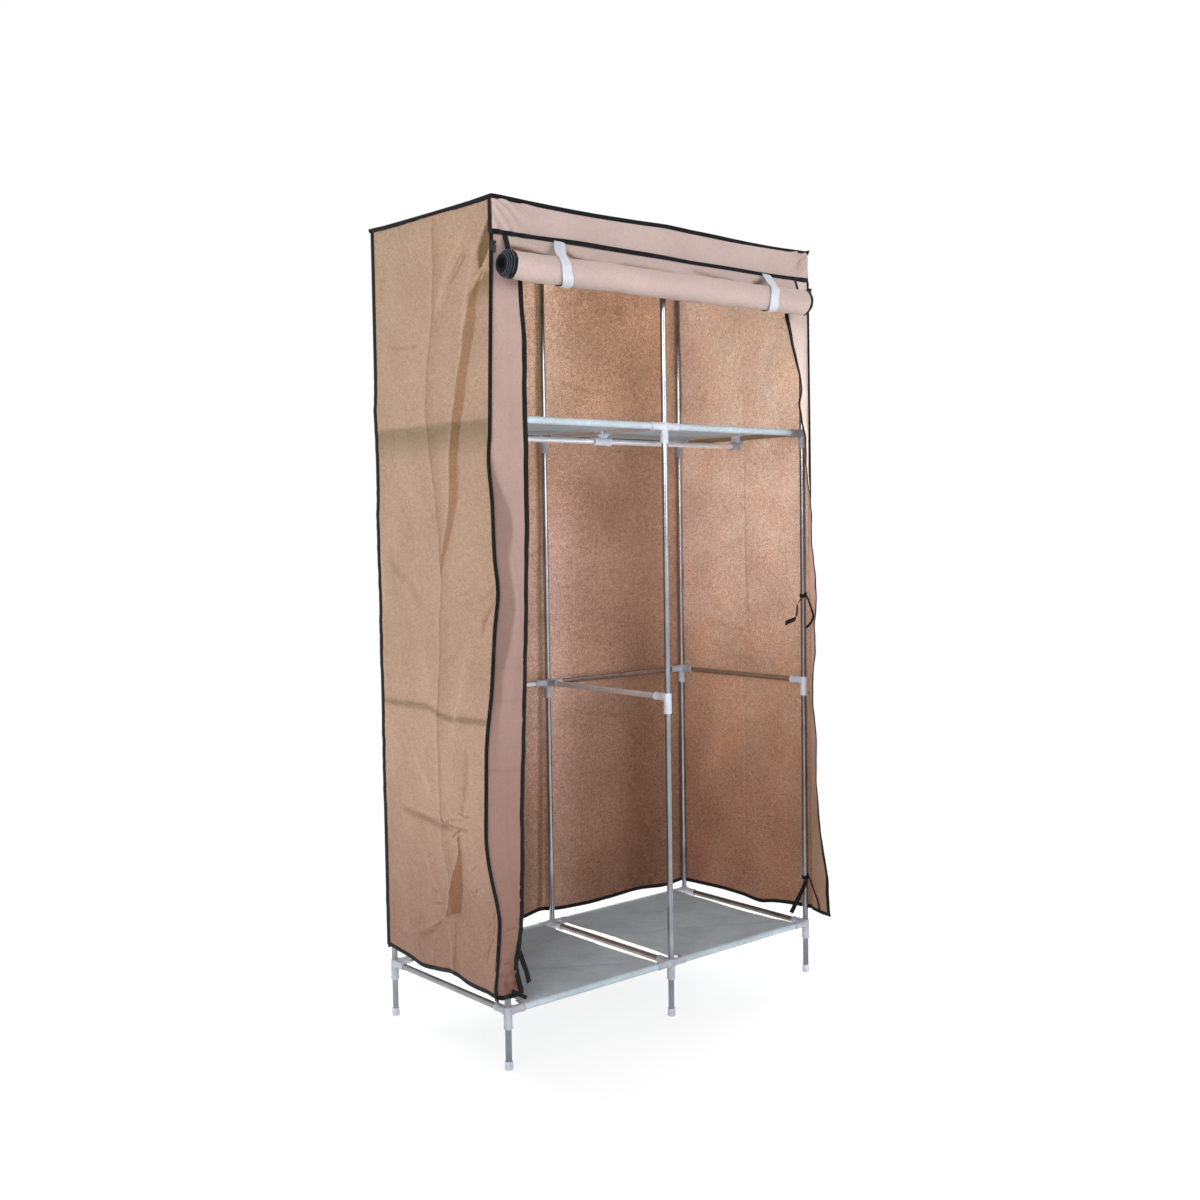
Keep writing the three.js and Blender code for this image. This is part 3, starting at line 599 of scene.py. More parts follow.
def cloth(name, grid, material, slot, nodes, tint, outer=None):
    """A thin closed solid round a grid of points: its sheet of cloth, with even thickness."""
    rows, columns = grid.shape[:2]
    normal = np.cross(np.gradient(grid, axis=1), np.gradient(grid, axis=0))
    normal = normal / np.maximum(np.linalg.norm(normal, axis=2, keepdims=True), 1e-9)
    layers = [grid + normal * CLOTH / 2, grid - normal * CLOTH / 2]
    points = np.concatenate([layer.reshape(-1, 3) for layer in layers])
    index = np.arange(rows * columns).reshape(rows, columns)
    top = stack(index[:-1, :-1], index[:-1, 1:], index[1:, 1:], index[1:, :-1]).reshape(-1, 4)
    below = top[:, ::-1] + rows * columns
    rim = np.concatenate([index[0, :-1], index[:-1, -1], index[-1, :0:-1], index[:0:-1, 0]])
    after = np.roll(rim, -1)
    edge = stack(after, rim, rim + rows * columns, after + rows * columns)
    faces = np.concatenate([top, below, edge])
    uv = stack(lengths_along(grid, 1) / 1000.0, lengths_along(grid, 0) / 1000.0)
    both_uv, both_tints = (np.tile(layer.reshape(rows * columns, -1), (2, 1)) for layer in (uv, tint))
    made = piece(name, points, faces, material, slot, "frame", nodes, both_uv, both_tints, 180.0)
    if outer is not None:
        made.data.materials.append(outer)
        slots = np.zeros(len(faces), dtype=np.int32)
        slots[:len(top)] = 1
        made.data.polygons.foreach_set("material_index", slots)
    return made


def cut_size(grid):
    """The flat size of a sheet, measured along its middle lines."""
    width = lengths_along(grid, 1)[:, -1].mean() / 1000.0
    length = lengths_along(grid, 0)[-1].mean() / 1000.0
    return float(width), float(length)


def cut_area(grid):
    """A sheet's own area, which is a little less than that of its flat size."""
    across = np.diff(grid, axis=1)[:-1]
    up = np.diff(grid, axis=0)[:, :-1]
    area = float(np.linalg.norm(np.cross(across, up), axis=2).sum() / 1e6)
    return min(area, 0.999 * math.prod(cut_size(grid)))


def edge_of(grid, side):
    """A grid's edge points, with the unit direction into the cloth."""
    edge, inner = {
        "start": (grid[:, 0], grid[:, 1]),
        "end": (grid[:, -1], grid[:, -2]),
        "low": (grid[0], grid[1]),
        "high": (grid[-1], grid[-2]),
    }[side]
    return edge, unit(inner - edge)


def banded(name, path, section, across, half, normal, material, slot, nodes=()):
    """A closed band along a path, whose section is (halves across, place along the normal) pairs."""
    points, faces = loft(np.stack([path + across * half * s + normal * n for s, n in section], axis=1))
    run = np.repeat(run_along(path) / 1000.0, len(section))
    sides = half * np.array([s for s, _ in section]) / 1000.0
    return piece(name, points, faces, material, slot, "frame", nodes, stack(run, sides.ravel()), None, 50.0)


def binding(name, edge, inward, reach=7.0, half=1.0, lip=1.2, material=BLACK, slot="black_tape"):
    """Tape folded round an edge of cloth: a slim closed band along it."""
    along = unit(np.gradient(edge, axis=0))
    inward = square_to(inward, along)
    section = [(reach, -half * 0.8), (reach * 0.5, -half * 1.15), (0, -half), (-lip, 0), (0, half),
               (reach * 0.5, half * 1.15), (reach, half * 0.8)]
    normal = np.cross(along, inward)
    return banded(name, edge, section, inward, np.ones((len(edge), 1)), normal, material, slot)


def strip(name, path, across, width, thickness, material, slot, nodes=()):
    """A flat ribbon that follows a path: across gives the direction of its width."""
    path = np.asarray(path, dtype=float)
    along = unit(np.gradient(path, axis=0))
    side = square_to(np.broadcast_to(np.asarray(across, dtype=float), path.shape), along)
    half = np.broadcast_to(np.asarray(width, dtype=float) / 2, len(path))[:, None]
    t = thickness / 2
    section = [(-1, -t * 0.6), (-0.9, -t), (0.9, -t), (1, -t * 0.6), (1, t * 0.6), (0.9, t), (-0.9, t),
               (-1, t * 0.6)]
    return banded(name, path, section, side, half, np.cross(along, side), material, slot, nodes)


def spline(points, steps=12):
    """A smooth path through a few points."""
    points = np.asarray(points, dtype=float)
    keys = run_along(points)
    places = np.linspace(0, keys[-1], steps * (len(points) - 1) + 1)
    return stack(*[curve_through(list(zip(keys, column)), places) for column in points.T])


# Camera at the photograph's angle, lamps, floor


def camera():
    azimuth, elevation, roll = (math.radians(angle) for angle in (-40.447, 3.015, -0.863))
    flat = math.cos(elevation)
    back = Vector((math.sin(azimuth) * flat, -math.cos(azimuth) * flat, math.sin(elevation)))
    right = (-back).cross(Vector((0, 0, 1))).normalized()
    level = Matrix((right, right.cross(-back), back)).transposed().to_4x4()
    data = bpy.data.cameras.new("photo_camera")
    data.lens = 41.2965
    data.sensor_width = 36.0
    obj = bpy.data.objects.new("photo_camera", data)
    place = Matrix.Translation((-2.01353, -2.32809, 1.06657))
    obj.matrix_world = place @ level @ Matrix.Rotation(roll, 4, "Z")
    bpy.context.scene.collection.objects.link(obj)
    bpy.context.scene.camera = obj


def lamp(name, place, target, size, power, mirrored=False):
    data = bpy.data.lights.new(name, "AREA")
    data.shape = "RECTANGLE"
    data.size, data.size_y = size
    data.energy = power
    obj = bpy.data.objects.new(name, data)
    obj.visible_glossy = mirrored
    obj.location = place
    obj.rotation_euler = (Vector(target) - Vector(place)).to_track_quat("-Z", "Y").to_euler()
    bpy.context.scene.collection.objects.link(obj)


def studio():
    scene = bpy.context.scene
    scene.view_settings.view_transform = "Standard"
    lamp("key", (-4.8, -3.2, 2.7), (0, 0, 1.1), (2.6, 2.6), 192.0, mirrored=True)
    lamp("front", (0.6, -5.2, 2.2), (0, 0, 1.1), (3.0, 2.4), 105.0, mirrored=True)
    lamp("right", (4.3, 0.9, 2.8), (0.4, 0, 1.1), (3.0, 3.0), 500.0)
    lamp("back", (-0.3, 3.4, 2.9), (0, 0.2, 1.3), (2.4, 2.4), 246.0)
    # White where it is seen, and a softer, bluish light on the pieces.
    sky = Shader("white_sky", "World")
    soft = sky.node("Background", Color=(0.96, 0.98, 1.0, 1), Strength=0.5)
    plain = sky.node("Background", Color=(1, 1, 1, 1), Strength=1.0)
    scene.world = sky.finish(sky.blend(sky.seen(), soft, plain))


def floor():
    s = Shader("floor")
    # White far away, and the lamps' own light and shadows close to the wardrobe.
    reach = s.node("VectorMath", {"operation": "LENGTH"}, in0=s.coords.outputs["Object"]).outputs["Value"]
    near = s.node("MapRange", Value=reach, From_Min=0.45, From_Max=1.5, To_Min=0.18, To_Max=0.0)
    speck = s.ramp(s.noise(6.0), [(0.3, (0.86, 0.86, 0.86, 1)), (0.7, (0.9, 0.9, 0.9, 1))])
    plain = s.node("BsdfDiffuse", Color=speck)
    glow = s.node("Emission", Color=(1, 1, 1, 1), Strength=1.0)
    hidden = s.math("MULTIPLY", s.seen(), s.math("SUBTRACT", 1.0, near.outputs[0]))
    half = 12.0
    corners = [(-half, -half, 0), (half, -half, 0), (half, half, 0), (-half, half, 0)]
    mesh = bpy.data.meshes.new("floor")
    mesh.from_pydata(corners, [], [(0, 1, 2, 3)])
    mesh.materials.append(s.finish(s.blend(hidden, plain, glow)))
    made = bpy.data.objects.new("floor", mesh)
    bpy.context.scene.collection.objects.link(made)
    made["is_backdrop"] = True


# Frame: tubes, moulded joints, feet, rod and clips


# How bright the moulded joints are: painted light and shade, so each level's joints have their own
# brightness, and the front right upper joint, by the flap, a painted shade of its own.
JOINT_PAINTED_LIGHT = {
    "front": {"bottom": 0.8, "middle": 1.32, "upper": 1.3, "top": 1.1},
    "back": {"bottom": 0.9, "middle": 1.0, "upper": 1.1, "top": 1.1},
}
SHADED_JOINT_TINT = 0.7
FOOT_TINT = 1.15
# How bright each clip is: painted light and shade, the right clip's darker.
CLIP_PAINTED_LIGHT = {"left": 1.7, "middle": 1.7, "right": 1.2}
# How many quarter turns each upright's joints have made.
QUARTER_TURNS = {
    "front": {"left": 0, "middle": 0, "right": 1},
    "back": {"left": 3, "middle": 2, "right": 2},
}
# How far each clip's barrel reaches to the left and to the right of its rail.
CLIP_ENDS = {"left": (-4.1, 22.0), "middle": (-25.0, 25.0), "right": (-22.0, 4.1)}


def joint_shape(directions):
    """A sleeve round the upright, with a socket and its web in each direction."""
    bore = TUBE + 0.05
    mouth = TUBE + 2.6
    wall = TUBE + 2.1
    root = TUBE + 1.7
    low = -SLEEVE_BELOW
    sleeve = lathe([
        (mouth - 1.0, low), (mouth, low + 1.0), (mouth, low + 6.0), (wall, low + 7.5),
        (wall, SLEEVE_ABOVE - 1.6), (wall - 0.6, SLEEVE_ABOVE - 0.4), (wall - 1.4, SLEEVE_ABOVE),
    ])
    socket = lathe([
        (root, 0), (root, SOCKET_REACH - 7.5), (wall + 0.1, SOCKET_REACH - 6.0),
        (wall + 0.1, SOCKET_REACH - 1.0), (wall - 0.9, SOCKET_REACH),
    ])
    web = lathe([(root + 1.6, 2.0), (root + 1.3, 11.0), (root - 0.2, 16.0)])
    hole = lathe([(bore, SOCKET_FLOOR), (bore, SOCKET_REACH + 3)])
    steps = [("UNION", aimed(shape, direction)) for direction in directions for shape in (socket, web)]
    steps.append(("DIFFERENCE", lathe([(bore, low - 3), (bore, SLEEVE_ABOVE + 3)])))
    steps += [("DIFFERENCE", aimed(hole, direction)) for direction in directions]
    return carve(sleeve, steps)


def foot_shape():
    """A foot cap: a cup with four grooves round it."""
    rim = TUBE + 1.9
    bore = TUBE + 0.05
    profile = [(TUBE + 0.4, 0), (TUBE + 1.5, 0.5), (rim, 1.6)]
    for height in (5.5, 7.5, 9.5, 11.5):
        profile += [(rim, height - 0.9), (TUBE + 1.45, height - 0.45), (rim, height)]
    return lathe(profile + [(TUBE + 1.8, 16.2), (TUBE + 1.1, 17), (bore, 17), (bore, 3.0)])


def moulded(name, points, faces, bright, node, body="frame"):
    tint = np.full((len(points), 3), bright)
    piece(name, points, faces, PLASTIC, "milky_plastic", body, [node], tint=tint)


def uprights():
    """The six uprights, each with its foot cap and its four joints."""
    corner = joint_shape(["right", "back"])
    tee = joint_shape(["left", "right", "back"])
    bare = joint_shape(["back"])
    foot_points, foot_faces = foot_shape()
    tube_points, tube_faces, uv = pipe(LEVELS["top"] + SLEEVE_ABOVE - 1.0 - FOOT_FLOOR)
    for deep, y in DEEP.items():
        for across, x in ACROSS.items():
            node = f"post_{deep}_{across}"
            # The front uprights get a darker copy of the steel, a painted shade, and the front right one, by
            # the flap, a darker one still.
            steel = STEEL_FRONT if deep == "front" else STEEL
            steel = STEEL_SHADE if (deep, across) == ("front", "right") else steel
            piece(f"upright_{deep}_{across}", tube_points + [x, y, FOOT_FLOOR], tube_faces, steel,
                  "steel_tube", nodes=[node], uv=uv)
            moulded(f"foot_cap_{deep}_{across}", foot_points + [x, y, 0], foot_faces, FOOT_TINT, node)
            for level, z in LEVELS.items():
                railless = (level, deep) == ("middle", "front")
                shape = bare if railless else tee if across == "middle" else corner
                quarters = 0 if railless else QUARTER_TURNS[deep][across]
                turn = np.array(Matrix.Rotation(quarters * math.pi / 2, 3, "Z"))
                shaded = (level, deep, across) == ("upper", "front", "right")
                bright = SHADED_JOINT_TINT if shaded else JOINT_PAINTED_LIGHT[deep][level]
                points, faces = shape[0] @ turn.T + [x, y, z], shape[1]
                moulded(f"joint_{level}_{deep}_{across}", points, faces, bright, node)


def rail(label, length, direction, x, y, z):
    """A rail's tube: it lies between the floors of two sockets."""
    gap = SOCKET_FLOOR + 0.3
    points, faces, uv = pipe(length - 2 * gap)
    place = (x + gap, y, z) if direction == "right" else (x, y + gap, z)
    steel = SHADED_RAILS.get(label, STEEL_RAIL)
    piece(f"tube_{label}", *aimed((points, faces), direction, place), steel, "steel_tube",
          nodes=[f"rail_{label}"], uv=uv)


def rails():
    for level, z in LEVELS.items():
        for side, start in BAYS.items():
            for deep, y in DEEP.items():
                # The middle level has no front rails.
                if (level, deep) != ("middle", "front"):
                    rail(f"{level}_{deep}_{side}", HALF_WIDTH, "right", start, y, z)
        for across, x in ACROSS.items():
            rail(f"{level}_side_{across}", DEPTH, "back", x, 0.0, z)


def clip_shape(back, front):
    """A moulded clip: an open jaw above, a neck, and a flanged barrel for the rods."""
    below = (0, 0, -ROD_DROP)
    jaw_in, jaw_out = TUBE + 0.4, TUBE + 2.6
    barrel = TUBE + 2.5
    flange = barrel + 1.6
    rod_left, rod_right = back < -5, front > 5
    half_mouth = math.radians(50)
    turn = np.linspace(math.pi / 2 + half_mouth, math.pi / 2 - half_mouth + math.tau, 37)
    outer, inner = (stack(r * np.cos(turn), 0.0, r * np.sin(turn)) for r in (jaw_out, jaw_in))

    def swept(shape, width):
        half = width / 2
        return loft([shape + [0, y, 0] for y in (-half, half)])

    low = -ROD_DROP + TUBE + 0.6
    high = -jaw_in - 1.1
    # The neck fans out towards its rods, but not towards the side cloth.
    left = 14.5 if rod_left else 8.6
    right = 14.5 if rod_right else 8.6
    waist = lerp(low, high, 0.5)
    neck = np.array([[-8.0, 0, low], [8.0, 0, low], [min(right, 9.6), 0, waist], [right, 0, high + 1.2],
                     [right, 0, high + 3.4], [-left, 0, high + 3.4], [-left, 0, high + 1.2],
                     [-min(left, 9.6), 0, waist]])
    profile = [(flange - 0.5, back), (flange, back + 0.5), (flange - 0.2, back + 1.6), (barrel, back + 3.4),
               (barrel, front - 3.4), (flange - 0.2, front - 1.6), (flange, front - 0.5),
               (flange - 0.5, front)]
    hole = lathe([(TUBE + 0.15, 1.1), (TUBE + 0.15, 26)])
    steps = [
        ("UNION", swept(neck, 20.0)),
        ("UNION", aimed(lathe(profile), "right", below)),
        ("DIFFERENCE", aimed(lathe([(jaw_in, -16), (jaw_in, 16)]), "back")),
    ]
    if rod_right:
        steps.append(("DIFFERENCE", aimed(hole, "right", below)))
    if rod_left:
        steps.append(("DIFFERENCE", aimed(hole, "left", below)))
    return carve(swept(np.concatenate([outer, inner[::-1]]), 27.0), steps)


def rod_and_clips():
    place = np.array([0, DEPTH / 2, LEVELS["upper"]])
    for across, ends in CLIP_ENDS.items():
        points, faces = clip_shape(*ends)
        moulded(f"clip_{across}", points + place + [ACROSS[across], 0, 0], faces, CLIP_PAINTED_LIGHT[across],
                f"rod_clip_{across}", "hanging_rod")
    # The rods end a little before the posts' middle lines.
    gap = 1.4
    for side, start in BAYS.items():
        points, faces, uv = pipe(HALF_WIDTH - 2 * gap)
        placed = aimed((points, faces), "right", (start + gap, DEPTH / 2, LEVELS["upper"] - ROD_DROP))
        piece(f"rod_{side}", *placed, STEEL_ROD, "steel_tube", "hanging_rod", [f"hanging_rod_{side}"], uv=uv)


# Shelves: one sheet each, with a sewn sleeve round its front and back rails


# The upper shelves' inner hems lie close to the rail between them.
UPPER_INNER_HEM = [
    (0, 39.5), (9, 39.5), (24, 21), (99, 20), (203, 21), (293, 20), (388, 21), (407, 39.5), (416, 39.5),
]
# How far each shelf's side hems stand in from the posts, as (depth, distance) pairs.
SHELF_HEMS = {
    "left": (
        [(0, 39.5), (16, 41), (110, 46), (208, 48), (306, 46), (400, 41), (416, 39.5)],
        [(0, 39.5), (16, 39.5), (82, 41), (179, 47), (258, 44), (345, 42), (416, 39.5)],
    ),
    "right": (
        [
            (0, 39.5), (9, 39.5), (24, 17), (99, 21), (203, 20.5), (293, 16.2), (388, 14), (407, 39.5),
            (416, 39.5),
        ],
        [(0, 39.5), (12, 42), (54, 51), (225, 53), (292, 47), (355, 43), (400, 40), (416, 39.5)],
    ),
}
# Pressed creases from the shelf's left post: (across, depth) lines, each with its width and its height.
SHELF_CREASES = [
    ([(60, 210), (183, 178), (277, 111), (395, 30)], 4.0, -2.0),
    ([(80, 320), (220, 300), (390, 296)], 4.0, -1.4), ([(140, 30), (150, 200), (138, 390)], 4.0, 1.2),
]


def shelf_line():
    """A shelf's line from front to back as (depth, height) pairs, and which of them are its flat sheet."""
    radius = TUBE + 0.5
    # The sleeve's outline runs from its stitch under the sheet round the front of the rail to its top.
    tail = np.array([[30.0, 3.8], [22.0, 3.4], [14.0, 0.5], [8.0, -3.6]])
    front = np.concatenate([tail, arc(radius, np.linspace(math.radians(300), math.radians(90), 22))])
    deep = np.concatenate([np.linspace(0, 30, 13)[1:-1], np.linspace(30, DEPTH - 30, 57),
                           np.linspace(DEPTH - 30, DEPTH, 13)[1:-1]])
    back = front[::-1] * [-1, 1] + [DEPTH, 0]
    return np.concatenate([front, stack(deep, radius), back]), slice(len(front), len(front) + len(deep))


def shelf(level, side):
    post = BAYS[side]
    upper = level == "upper"
    path, flat_rows = shelf_line()
    u = np.linspace(0, 1, 61)[None, :]
    y = path[:, :1]
    tables = list(SHELF_HEMS[side])
    if upper:
        tables[1 if side == "left" else 0] = UPPER_INNER_HEM
    insets = []
    for table in tables:
        inset = np.full(y.shape, SOCKET_REACH + 0.5)
        inset[flat_rows] = np.interp(y[flat_rows], *zip(*table))
        insets.append(inset)
    x = lerp(post + insets[0], post + HALF_WIDTH - insets[1], u)
    seed = {"left": 11, "right": 12}[side] + (5 if upper else 0)
    on_sheet = between(y, 4, DEPTH - 4, 24)
    depth, flat_share, power = (10.5, 0.4, 0.6) if upper else (5.0, 0.0, 0.8)
    hang = np.sin(math.pi * np.clip(y / DEPTH, 0, 1)) ** power
    sag = depth * lerp(np.sin(math.pi * u) ** power, 1.0, flat_share) * hang
    wave = rippled(0.0, x, y, seed, (0.9, 190.0), (0.35, 60.0))
    for fold in (0.34, 0.67):
        wave = wave + 0.8 * hill((u - fold) * (HALF_WIDTH - 80), 3.0)
    wave = wave + 1.2 * hill(y - DEPTH / 2, 3.0)
    tint = blank(x)
    # The creases that its packing pressed into the sheet, with painted shade in their furrows.
    for line, width, height in SHELF_CREASES:
        step = crease(x, y, [(a + post, b) for a, b in line], width, height)
        wave = wave + step
        brighten(tint, -0.08 * np.clip(-step, 0, 3))
    grid = stack(x, y, LEVELS[level] + path[:, 1:] - (sag - wave * 0.8) * on_sheet)
    brighten(tint, 0.05 * ripples(x, y, 120.0, seed + 2))
    # A painted highlight along the upper shelves' front sleeve.
    if upper:
        brighten(tint, 0.17 * (1.0 - smooth((y - 4.0) / 8.0)))
    name = f"shelf_cloth_{level}_{side}"
    made = cloth(name, grid, SHELF, "shelf_cloth", [f"shelf_{level}_{side}"], tint)
    for end in ("start", "end"):
        edge, inward = (part[flat_rows] for part in edge_of(grid, end))
        label = f"shelf_hem_{level}_{side}_{end}"
        binding(label, edge, inward, 6.0, 0.7, 0.4, SHELF_HEM, "shelf_cloth")
    cut_size(grid)
    cut_area(grid)


# Cover


# How far the front corners stand out from the posts, in the photograph: (height, distance) pairs.
CORNERS = {
    "left": [
        (146, 33), (180, 35), (194, 33), (237, 28), (269, 25), (302, 23), (336, 28), (379, 38), (425, 47),
        (465, 51), (520, 50), (585, 48), (642, 46), (757, 31), (872, 21), (949, 12), (1007, 18),
        (1122, 22), (1199, 28), (1256, 24), (1629, 12), (1691, 12),
    ],
    "right": [(146, 17), (603, 15), (729, 18), (1008, 14), (1256, 13), (1629, 10), (1691, 10)],
}
# The zip runs straight from the band down to ZIP_LOW: how far out it is there, and at the band.
ZIP_LOW = 1255.3
ZIP_TOP = 1629.2
ZIP_OUT = {"left": (24.0, 12.0), "right": (13.0, 10.0)}
# The hems' heights: (depth, height) pairs at the sides, and (across, height) pairs at the back.
HEMS = {
    "left": [
        (-12, 152), (22, 153), (89, 152), (152, 160), (220, 150), (285, 144), (345, 150), (396, 155),
        (427, 158),
    ],
    "right": [(-12, 150), (16, 149), (123, 140), (153, 134), (218, 139), (307, 141), (427, 138)],
    "back": [
        (-452, 152), (-300, 144), (-160, 148), (-72, 142), (-22, 149), (17, 143), (106, 139), (210, 140),
        (296, 142), (385, 136), (452, 142),
    ],
}
# The pleat in the back: (height, across) pairs.
BACK_PLEAT = [(150, -27), (178, -26), (1134, -10), (1604, -5), (1690, -4)]
# From the photograph: how far the right flap is turned, in degrees from straight back.
RIGHT_SWING = [
    (128, 101), (177, 104), (249, 110), (321, 118), (380, 124), (450, 128), (521, 129), (591, 130),
    (637, 134), (684, 135), (744, 135), (788, 131), (846, 129), (915, 128), (984, 130), (1053, 134),
    (1122, 137), (1191, 141), (1260, 145), (1309, 152), (1344, 154), (1374, 149), (1408, 154), (1482, 168),
    (1547, 180), (1630, 180),
]
# How wide the left flap's front is: (height, distance) pairs.
LEFT_FLAP_EDGE = [
    (146, 33), (165, 29), (185, 24), (208, 19), (228, 21), (250, 27), (285, 33), (374, 38), (533, 41),
    (730, 51), (927, 60), (1122, 65), (1317, 66), (1452, 65), (1542, 59), (1630, 58),
]


def corner_out(side, z):
    """How far a front corner stands out from its post."""
    at_end, at_band = ZIP_OUT[side]
    z = np.asarray(z, dtype=float)
    straight = at_band + (at_end - at_band) * (ZIP_TOP - z) / (ZIP_TOP - ZIP_LOW)
    return lerp(curve_through(CORNERS[side], z), straight, smooth((z - ZIP_LOW + 26) / 26))


def top_lift(x, y):
    """How far the top panel is above its plain height: held up at the posts, sagging between them."""
    bay = np.abs(np.sin(math.pi * x / HALF_WIDTH))
    share = np.clip(y / DEPTH, 0, 1)
    sag = 2.5 * bay**2 + 5.0 * bay * np.sin(math.pi * share)
    from_edge = np.minimum(share, 1 - share)
    return 1.5 * np.clip(1 - bay / 0.5, 0, 1) * np.clip(1 - from_edge / 0.125, 0, 1) - sag


def top_height(x, y):
    """The top panel's height: its sag, and the corners that its seams hold up."""
    share = np.clip(np.asarray(y, dtype=float) / DEPTH, 0, 1)
    left = hill(x + HALF_WIDTH + COVER_OUT, 75.0)
    right = hill(x - HALF_WIDTH - COVER_OUT, 75.0)
    return TOP_UNDER + top_lift(x, y) + 8.0 * left * share**1.3 + 3.0 * right * share**1.3


def top_fin(name, edge, lean, heights):
    """The bound seam of a top edge, which stands up along it: (place across, height) pairs give how far."""
    overhang = 3.2
    lean = np.array(lean, dtype=float) / np.linalg.norm(lean)
    ends = edge[[0, -1]] - edge[[1, -2]]
    ends = overhang * ends / np.linalg.norm(ends, axis=1, keepdims=True)
    edge = np.concatenate([edge[:1] + ends[:1], edge, edge[-1:] + ends[1:]])
    height = np.interp(edge[:, 0], *zip(*heights))[:, None]
    return binding(name, edge + lean * height, np.broadcast_to(-lean, edge.shape), 8.0, 1.1, 0.8)


def side_grid(side):
    """A side panel's depths and heights, and how far out it stands before its folds."""
    u, v = shares(131, 261)
    if side == "left":
        # Finer rows and columns where the small wrinkles lie.
        u, v = shares(181, 381)
        u = np.interp(u, [0, 0.28, 1], [0, 0.17, 1])
        v = np.interp(v, [0, 0.06, 0.36, 0.72, 1], [0, 0.06, 0.235, 0.82, 1])
    y = lerp(-COVER_OUT + 0.9, DEPTH + COVER_OUT, u) + 0 * v
    hem = curve_through(HEMS[side], y)
    top = top_height(SIGN[side] * (HALF_WIDTH + 11), y) - 0.8
    z = lerp(hem, top, v)
    flat = HALF_WIDTH + COVER_OUT + CLOTH
    corner = np.maximum(HALF_WIDTH + corner_out(side, z), flat)
    share = np.clip((z - HEM) / (BAND_BOTTOM - HEM), 0, 1)
    out = lerp(corner, flat, np.sin(math.pi / 2 * u))
    return y, z, out + 9.0 * np.sin(math.pi * u) * np.sin(math.pi * share)


def settled(out, y, z):
    """A side panel that stays outside the frame, and flat at its bound edges: their tape stiffens it."""
    out = np.maximum(out, HALF_WIDTH + COVER_OUT + 0.4)
    out = lerp(out[:, -1:], out, smooth((DEPTH + COVER_OUT - y) / 26.0))
    return lerp(out[:1], out, smooth((z - z[:1]) / 20.0))


def shade(tint, amount, colour):
    """Turns a tint towards a darker colour, or away from it for a negative amount."""
    for k in range(3):
        tint[..., k] *= 1 - amount * (1 - colour[k] ** 2.2)


# The left side's lines, in (depth, height) pairs. First its long pressed crease.
PRESSED = [
    (189, 1670), (189, 1605), (194, 1487), (202, 1430), (210, 1380), (211, 1294), (200, 1242), (185, 1155),
    (178, 1087), (166, 973), (172, 817), (179, 660), (178, 556), (173, 467), (159, 348), (149, 245),
    (147, 166),
]
# The rear and the front edge of the slanting pleat.
PLEAT_REAR = [
    (9, 1564), (44, 1531), (60, 1481), (76, 1430), (90, 1385), (103, 1337), (117, 1271), (120, 1221),
    (127, 1137), (136, 1095), (161, 1014), (168, 973),
]
PLEAT_FORE = [
    (12, 1560), (22, 1528), (26, 1476), (39, 1426), (58, 1382), (65, 1333), (85, 1269), (93, 1219),
    (101, 1136), (116, 1095), (142, 1034), (166, 973),
]
PLEAT_LOW, PLEAT_HIGH = 973, 1562
# Each crease with its width and its height.
PINCH_CREASES = [
    ([(-4, 1588), (14, 1568), (40, 1548), (52, 1537)], 5.0, 3.4),
    ([(3, 1664), (34, 1606), (36, 1572)], 5.0, 2.4),
]
LEFT_CREASES = [
    ([(-27, 1584), (1, 1570), (26, 1556), (41, 1540)], 7, 2.4),
    ([(70, 1606), (103, 1579), (134, 1553)], 7, -1.8), ([(134, 1553), (159, 1520), (184, 1493)], 6, 1.7),
    ([(88, 1504), (135, 1510), (184, 1510)], 6, 1.1), ([(367, 1451), (236, 1441)], 4, -1.2),
    ([(162, 1434), (85, 1441), (60, 1450)], 6, 1.5), ([(251, 1380), (177, 1377), (104, 1383)], 6, 1.2),
    ([(391, 735), (185, 741)], 5, 1.1), ([(361, 476), (262, 469), (187, 465), (105, 467)], 9, -2.4),
    ([(350, 488), (262, 482), (187, 477)], 8, 1.4), ([(105, 467), (60, 474)], 4, -1.8),
    ([(149, 475), (100, 486), (59, 506)], 4, 1.8), ([(132, 447), (87, 473)], 4, -1.6),
    ([(110, 470), (98, 440)], 4, 1.6), ([(150, 492), (112, 470)], 4, 1.4),
    ([(185, 269), (223, 245), (302, 217), (363, 210)], 8, 2.6),
    ([(190, 262), (228, 236), (300, 208)], 6, -1.8),
    ([(-6, 951), (12, 915), (29, 890), (35, 855)], 6, -2.6), ([(-19, 956), (10, 966), (40, 969)], 4, 1.6),
    ([(-19, 948), (15, 941), (44, 930)], 4, -1.6), ([(-8, 952), (18, 952)], 3, -1.6),
    ([(28, 300), (26, 262), (50, 214)], 6, 1.5), ([(237, 150), (232, 190), (224, 229)], 5, 1.3),
    ([(152, 166), (158, 215), (170, 262)], 6, 1.4), ([(205, 318), (235, 322)], 4, -1.2),
    ([(396, 1290), (300, 1288), (200, 1284)], 5, 0.8), ([(60, 1660), (120, 1600), (180, 1500)], 16, 1.8),
    ([(30, 1640), (60, 1540), (80, 1420)], 14, 1.6), ([(330, 1180), (250, 1140), (190, 1090)], 14, 1.3),
    ([(60, 860), (90, 760), (110, 640)], 16, 1.6), ([(300, 620), (240, 560), (200, 520)], 14, 1.4),
    ([(60, 640), (70, 560), (90, 490)], 12, -1.3), ([(250, 400), (215, 340), (190, 280)], 12, 1.3),
    ([(380, 1000), (300, 960), (230, 900)], 16, -1.2),
]
